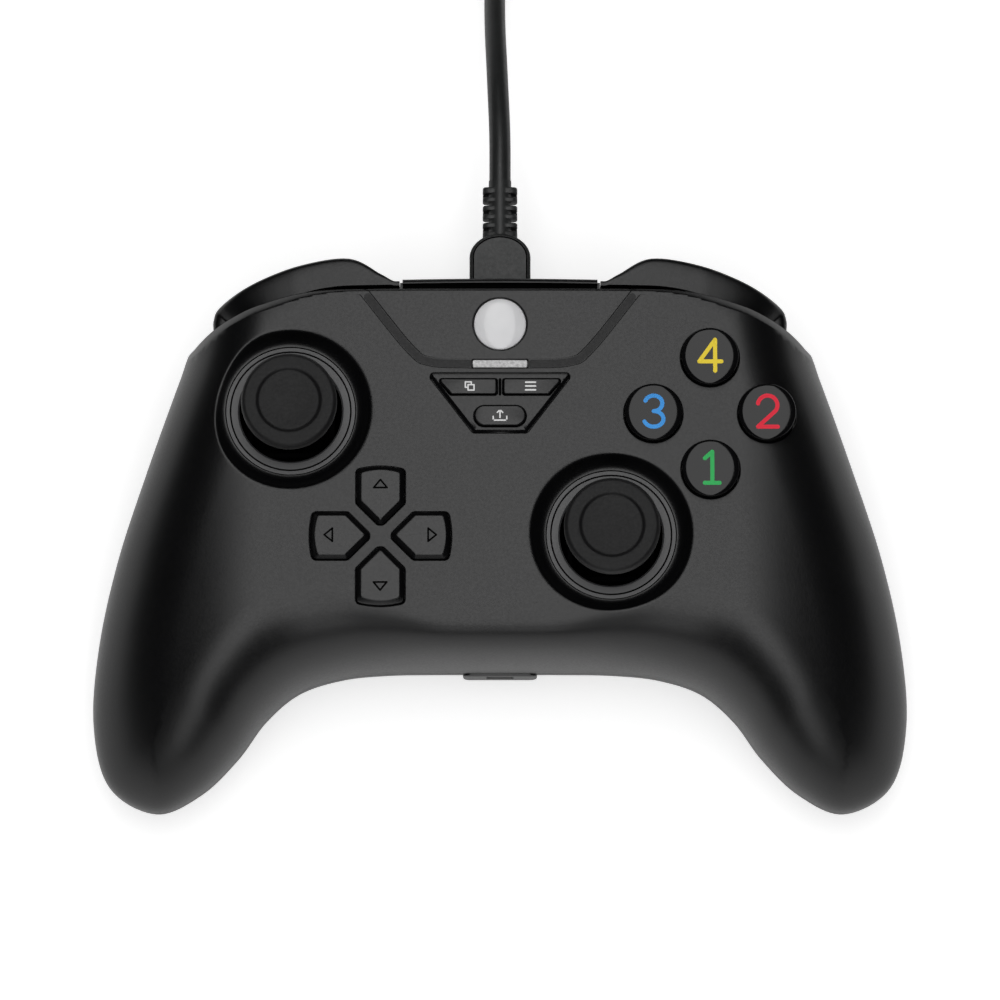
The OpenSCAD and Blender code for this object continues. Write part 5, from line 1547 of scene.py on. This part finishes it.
@dataclass
class RubberMats:
    """The face and direction mats on the main board, with a dome under each key."""

    low: float = 29.5
    thick: float = 0.6
    top: float = 36.5
    keep: float = 0.72
    pad: Point = (8.4, 10.0)
    dome_r: Point = (4.0, 3.4)

    def build(self) -> None:
        """Makes both sheets and their domes."""
        levels = [(0, self.low), (0, self.low + self.thick)]
        pad = rounded(box_points(2 * LAYOUT.face_pitch + self.pad[0], self.pad[1]), 4)
        sheet = Shape()
        for outline in (pad, pad[:, ::-1][::-1]):
            sheet.stack(outline + LAYOUT.face_at, levels)
        sheet.place("face_mat_sheet", SILICONE, HOUSING, ["face_mat"], "key")
        sheet = Shape()
        sheet.stack(circle(LAYOUT.dpad_at, LAYOUT.dpad_reach + 0.6), levels)
        sheet.place("dpad_mat_sheet", SILICONE, HOUSING, ["dpad_mat"], "key")
        names = (("right", "right"), ("top", "up"), ("left", "left"), ("bottom", "down"))
        for angle, (button, key) in zip(QUARTERS, names):
            self.dome(f"{button}_button", LAYOUT.button_at(angle), self.dome_r[0])
            self.dome(f"dpad_{key}", polar(LAYOUT.dpad_at, LAYOUT.dpad_reach - 4, angle), self.dome_r[1])

    def dome(self, name: str, at: Point, radius: float) -> None:
        """Makes one dome with a flat top.

        Args:
            name: Body of the key above it.
            at: Centre in plan.
            radius: Foot radius.
        """
        foot, top, neck = self.low + self.thick - 0.05, self.top, radius - 1
        profile = [
            (AXIS, foot), (radius, foot), (radius, foot + 0.4), (radius - 0.6, foot + 3), (neck, top - 1.3),
            (neck, top - 0.2), (radius - 1.2, top), (AXIS, top),
        ]
        shape = Shape()
        shape.lathe(profile, at, 48)
        piece = shape.place(name + "_rubber_dome", SILICONE, HOUSING, slot="key")
        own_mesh(piece)


# Lead


@dataclass
class Lead:
    """The detachable lead: moulded plug, ribbed relief, cable in one run with its coil, far plug and tie."""

    diameter: float = 4.0
    plug_z: float = 31.1
    plug_w: float = 11.4
    plug_t: float = 6.4
    plug_start: float = 42.5
    plug_end: float = 54.9
    plug_nose: float = 4.6
    plug_line: tuple[float, float, float] = (0.72, 0.26, 45.2)
    relief_end: float = 65.5
    relief_tail: float = 1.4
    relief_half: Point = (3.25, 1.9)
    relief_spine: float = 2.12
    lay_z: float = 2.9
    coil_at: Point = (35.8, 176.0)
    coil_in: float = 16.0
    coil_out: float = 36.8
    turns: int = 4
    layers: int = 4
    layer_pitch: float = 4.9
    far_at: Point = (9.0, -28.0)
    usb_z: float = 23.8
    tie_w: float = 10.0
    tie_t: float = 0.7
    tie_y: Point = (12.72, 39.0)
    tie_z: Point = (0.7, 19.8)

    def route(self) -> np.ndarray:
        """The cable's middle line from the relief through the coil to the far plug."""
        lead = [
            (0, self.relief_end, self.plug_z), (0, 68, 31.1), (0, 72, 30.7), (-0.1, 77, 29.6), (-0.3, 82, 27.9),
            (-0.5, 87, 25.5), (-0.7, 92, 22.6), (-0.9, 97, 19.3), (-1, 102, 15.9), (-1, 107, 12.5), (-1, 112, 9.4),
            (-1, 117, 6.7), (-1, 122, 4.6), (-1, 127, 3.4), *((-1, y, self.lay_z) for y in range(132, 173, 8)),
        ]
        coil, steps = [], self.turns * 24
        for layer in range(self.layers):
            first, last = (self.coil_out, self.coil_in) if layer % 2 == 0 else (self.coil_in, self.coil_out)
            for i in range(steps + 1):
                coil.append(self.spiral(layer * 180 + 15 * i, first + (last - first) * (i / steps), layer))
            if layer < self.layers - 1:
                for i in range(1, 12):
                    coil.append(self.spiral(layer * 180 + 15 * i, last, layer + float(ease(i / 12))))
        tail = [
            (36.8, -4, 17.6), (36.8, -8, 17.6), (36.1, -13.2, 17.9), (34.1, -18, 18.9), (30.9, -22.1, 20.4),
            (26.8, -25.3, 22), (22, -27.3, 23.2), (16.8, -28, 23.8), (13, -28, 23.8), (9, -28, 23.8),
        ]
        tail = [(self.coil_at[0] + x, self.coil_at[1] + y, z) for x, y, z in tail]
        return open_curve([*lead, *coil, *tail], 2)

    def spiral(self, angle: float, radius: float, layer: float) -> tuple[float, float, float]:
        """One point of the coil at an angle in degrees, clockwise from the left."""
        turn = math.radians(angle)
        x, y = self.coil_at
        return x - radius * math.cos(turn), y + radius * math.sin(turn), self.lay_z + layer * self.layer_pitch

    def build(self) -> None:
        """Makes the cable, then the pieces at its two ends and the tie."""
        line = self.route()
        data = bpy.data.curves.new("cable", "CURVE")
        data.dimensions = "3D"
        data.bevel_depth = self.diameter / 2 * MM
        data.bevel_resolution = 5
        spline = data.splines.new("POLY")
        spline.points.add(len(line) - 1)
        spline.points.foreach_set("co", at_z(line * MM, 1.0).ravel())
        spline.use_smooth = True
        data.materials.append(PVC.build())
        cable = add_object("cable", data)
        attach(cable, HOUSING)
        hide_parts("cable_lead", "cable_coil", "cable_tail")
        log.info("cable: %d points, rides on %s", len(line), HOUSING)
        self.plug()
        far = self.far_plug()
        tie = self.tie()

    def outline(self, inset: float) -> np.ndarray:
        """The plug in plan: straight sides and an elliptic end."""
        half, nose, root = self.plug_w / 2 - inset, self.plug_nose - inset, self.plug_end - self.plug_nose
        end = [(half * math.cos(a), root + nose * math.sin(a)) for a in np.linspace(0, math.pi, 41)]
        return np.array([(-half, self.plug_start), (half, self.plug_start), *end])

    def plug(self) -> None:
        """Makes the moulded plug with its rounded end and edge line, the line drawn as painted shade in its groove,
        and the ribbed relief.
        """
        half = self.plug_t / 2
        levels = [
            (1.6, -half), (0.8, -half + 0.2), (0.2, -half + 0.7), (0, -half + 1.4), (0, half - 0.7),
            (0.05, half - 0.4), (0.2, half - 0.18), (0.45, half - 0.04), (0.7, half), (1.0, half),
        ]
        shape = Shape()
        shape.rings([at_z(self.outline(inset), self.plug_z + z) for inset, z in levels])
        self.relief(shape)
        shape.place("lead_plug", PVC_MOULDED, HOUSING, ["cable_plug"], "cable", sharp=36)
        inset, width, start = self.plug_line
        path = self.outline(inset)[2:]
        path = np.vstack([[(path[0][0], start)], path, [(path[-1][0], start)]])
        # A near-black line along the edge: painted shade of the groove.
        line = Shape()
        line.ribbon(path, width, level(self.plug_z + half), 0.015)
        line.place("lead_plug_line", PAINTED_SHADE, HOUSING, slot="cable", solid=False)

    def relief(self, shape: Shape) -> None:
        """Adds the strain relief: a round spine with blocks, cut by slots right through and by pockets from above."""
        (half_w, half_t), spine, tail = self.relief_half, self.relief_spine, self.relief_tail
        ray = circle((0, 0), 1, 64)
        block = ((np.abs(ray[:, 0]) / half_w) ** 5 + (np.abs(ray[:, 1]) / half_t) ** 5) ** -0.2
        block = np.maximum(block, spine)
        slot = np.full(len(ray), spine)
        pocket = np.where(ray[:, 1] > -0.25, spine, block)
        edge = np.maximum(block - 0.12, spine)
        start = self.plug_end - 1.2
        length = self.relief_end - tail - start
        rows = [(block, 0.0)]
        for i in range(1, 6):
            cut, middle = (slot if i % 2 == 0 else pocket), 1.2 + (length - 1.2) * (i - 0.35) / 5.6
            rows += [(block, middle - 0.55), (edge, middle - 0.4), (cut, middle - 0.38), (cut, middle + 0.38)]
            rows += [(edge, middle + 0.4), (block, middle + 0.55)]
        rows += [(block, length - 0.3), (edge, length - 0.08), (slot, length), (slot, length + tail)]
        shape.rings([at_y(r[:, None] * ray + [0, self.plug_z], start + y) for r, y in rows])

    def far_plug(self) -> list[bpy.types.Object]:
        """Makes the far plug: tapered boot, moulded grip with ridges, and a pressed shell with its tongue.

        Returns:
            The grip, the shell and the tongue.
        """
        x0, y0 = self.coil_at[0] + self.far_at[0], self.coil_at[1] + self.far_at[1]

        def ring(section: np.ndarray, along: float) -> np.ndarray:
            """A section of (depth, width) points at a distance along the plug."""
            return at_x(section[:, ::-1] + [y0, self.usb_z], x0 - along)

        grip, shell, core = Shape(), Shape(), Shape()
        boot = circle((0, 0), 1, 32)
        steps = ((0, 2.3), (0.4, 2.6), (3, 2.9), (3.4, 2.6), (4.2, 2.6), (4.6, 3.1), (8.2, 3.6))
        grip.rings([ring(boot * r, a) for a, r in steps])
        section = rounded(box_points(8, 15.5), 2.4, 8)
        rows = [(1.2, 8), (0.5, 8.25), (0.15, 8.7), (0, 9.4)]
        for k in range(5):
            a = 12.2 + 1.7 * k
            rows += [(0, a), (0.28, a + 0.3), (0.28, a + 0.8), (0, a + 1.1)]
        rows += [(0, 23.2), (0.15, 23.7), (0.6, 24)]
        grip.rings([ring(grown(section, -inset), a) for inset, a in rows])
        outer = rounded(box_points(4.5, 12), 0.5, 5)
        inner = rounded(box_points(3.9, 11.4), 0.3, 5)
        walls = ((outer, 24), (outer, 35.9), (grown(outer, -0.1), 36), (inner, 36), (inner, 24.5))
        shell.rings([ring(wall, a) for wall, a in walls], caps=False)
        tongue = rounded(box_points(1.7, 10.8), 0.2, 3) + [0.95, 0]
        core.rings([ring(tongue, 24.2), ring(tongue, 35.4)])
        return [
            grip.place("far_plug_grip", PVC_MOULDED, HOUSING, ["usb_plug"], "cable", sharp=36),
            shell.place("far_plug_shell", STEEL, HOUSING, slot="steel"),
            core.place("far_plug_tongue", PBT, HOUSING, slot="jack"),
        ]

    def tie(self) -> bpy.types.Object:
        """Makes the woven tape that holds the coil."""
        (inner, outer), (low, high), half = self.tie_y, self.tie_z, self.tie_w / 2
        loop = rounded([(inner, low), (outer, low), (outer, high), (inner, high)], 2.2, 8)
        edges = ((0, -half), (self.tie_t, -half), (self.tie_t, half), (0, half), (0, -half))
        x0, y0 = self.coil_at
        shape = Shape()
        shape.rings([at_x(grown(loop, grow) + [y0, 0], x0 + x) for grow, x in edges], caps=False)
        return shape.place("coil_tie", NYLON_TAPE, HOUSING, ["cable_tie"], "tie")


# Inner parts keep their solids


def both(*names: str) -> list[str]:
    """The left and the right node of each name."""
    return [f"{side}_{name}" for name in names for side in ("left", "right")]


@dataclass
class InnerParts:
    """Finishes of the solids that keep their own shape."""

    finishes: dict = field(
        default_factory=lambda: {
            STEEL: (
                "trigger_pins", *both("trigger_spring", "stick_shaft"), "tact_switches", "board_screws",
                "housing_screws", "usb_socket", *both("rumble_motor"),
            ),
            # Stick frames, yokes, arches and sensors are drawn near-black with almost no reflection: painted shade,
            # so the gap round a stick stays black.
            SHADE_PAINTED_STEEL: both("stick_frame"),
            SHADE_PAINTED_ACETAL: (*both("pitch_yoke", "roll_arch"), "stick_sensors"),
            GLASS_NYLON: ("trigger_frame",),
            NATURAL_ACETAL: both("pivot_hub"),
            ACETAL: both("stick_ring"),
            PBT: ("headset_jack",),
            SILICONE: ("menu_mat",),
            LACQUERED_BOARD: ("main_board", "audio_board"),
            SINTERED: both("rumble_weight"),
        }
    )

    def dress(self) -> None:
        """Gives each solid its finish."""
        for finish, nodes in self.finishes.items():
            for node in nodes:
                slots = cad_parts[node].data.materials
                slots.clear()
                slots.append(finish.build())
                log.info("%s keeps its solid, in %s", node, finish.name)


# Studio


@dataclass
class Studio:
    """Camera, pale floor, one long softbox with a panel before the player, a soft ceiling and a dim room."""

    target: tuple[float, float, float] = (0.0, 4.97, 30.0)
    distance: float = 1200.0
    elevation: float = 80.0
    lens: float = 231.9
    softbox_power: float = 10.1
    panel_power: float = 2.0
    ceiling_power: float = 8.0
    room: float = 0.015
    floor_half: float = 8.0
    floor_lift: float = 0.5
    floor_mirrored: float = 0.08

    def build(self) -> None:
        """Makes the camera, the floor and the light."""
        self.camera()
        self.floor()
        self.light()

    def camera(self) -> None:
        """Sets the camera at the photograph's angle."""
        data = bpy.data.cameras.new("camera")
        data.lens = self.lens
        data.sensor_width = 36.0
        data.clip_end = 50.0
        camera = add_object("camera", data)
        tilt = math.radians(self.elevation)
        target = Vector(self.target) * MM
        camera.location = target + Vector((0, -math.cos(tilt), math.sin(tilt))) * self.distance * MM
        camera.rotation_euler = (target - camera.location).to_track_quat("-Z", "Y").to_euler()
        bpy.context.scene.camera = camera
        bpy.context.scene.view_settings.view_transform = "Standard"

    def floor(self) -> None:
        """Lays a matt floor that the camera sees as white paper with the shadow kept, and reflections a little."""
        mesh = bpy.data.meshes.new("floor")
        mesh.from_pydata(at_z(box_points(2, 2) * self.floor_half, 0.0).tolist(), [], [(0, 1, 2, 3)])
        material = bpy.data.materials.new("paper_white")
        tree = clean_tree(material)
        place = add_node(tree, "TexCoord").outputs["Object"]
        fibre = add_node(tree, "TexNoise", inputs={"Vector": place, "Scale": 900.0, "Detail": 2.0}).outputs["Fac"]
        paper = add_tones(tree, fibre, ("#efefef", "#f5f5f5"))
        matt = add_node(tree, "BsdfDiffuse", inputs={"Color": paper}).outputs[0]
        ray = add_node(tree, "LightPath").outputs
        lift = add_node(
            tree, "Math", {"operation": "ADD"}, {0: ray["Is Glossy Ray"], 1: ray["Is Transmission Ray"]}
        ).outputs[0]
        lift = add_node(tree, "Math", {"operation": "MULTIPLY"}, {0: lift, 1: self.floor_mirrored}).outputs[0]
        lift = add_node(
            tree, "Math", {"operation": "MULTIPLY_ADD"}, {0: ray["Is Camera Ray"], 1: self.floor_lift, 2: lift}
        ).outputs[0]
        glow = add_node(tree, "Emission", inputs={"Strength": lift}).outputs[0]
        surface = add_node(tree, "AddShader", inputs={0: matt, 1: glow}).outputs[0]
        add_node(tree, "OutputMaterial", inputs={"Surface": surface})
        mesh.materials.append(material)
        floor = add_object("floor", mesh)

    def light(self) -> None:
        """Hangs the long softbox and its panel, the wide ceiling that only fills, and sets the room's dim level."""
        down, forward = (0, 0, 0), (math.pi / 2, 0, 0)
        for name, place, turn, size, power, mirrored in (
            ("softbox", (0, -0.3, 1.15), down, (0.56, 2.5), self.softbox_power, True),
            ("front_panel", (0, -1.58, 0.72), forward, (0.56, 0.8), self.panel_power, True),
            ("ceiling", (0, 0, 1.15), down, (1.7, 1.7), self.ceiling_power, False),
        ):
            data = bpy.data.lights.new(name, "AREA")
            data.shape = "RECTANGLE"
            data.size, data.size_y = size
            data.energy = power
            lamp = add_object(name, data)
            lamp.location = place
            lamp.rotation_euler = turn
            lamp.visible_glossy = mirrored
        world = bpy.data.worlds.new("room")
        tree = clean_tree(world)
        back = add_node(tree, "Background", inputs={"Color": linear("#ffffff"), "Strength": self.room})
        add_node(tree, "OutputWorld", inputs={"Surface": back.outputs[0]})
        bpy.context.scene.world = world


def main() -> None:
    """Builds the scene piece by piece and notes its size."""
    logging.basicConfig(level=logging.INFO, format="%(name)s %(message)s")
    Studio().build()
    Lead().build()
    FrontHousing().build()
    RearHousing().build()
    TopBridge().build()
    for side in (-1, 1):
        Bumper(side).build()
        Trigger(side).build()
    ThumbStick("left", LAYOUT.left_stick).build()
    ThumbStick("right", LAYOUT.right_stick).build()
    FaceButtons().build()
    DirectionKeys().build()
    MenuKeys().build()
    RubberMats().build()
    InnerParts().dress()


if __name__ == "__main__":
    main()
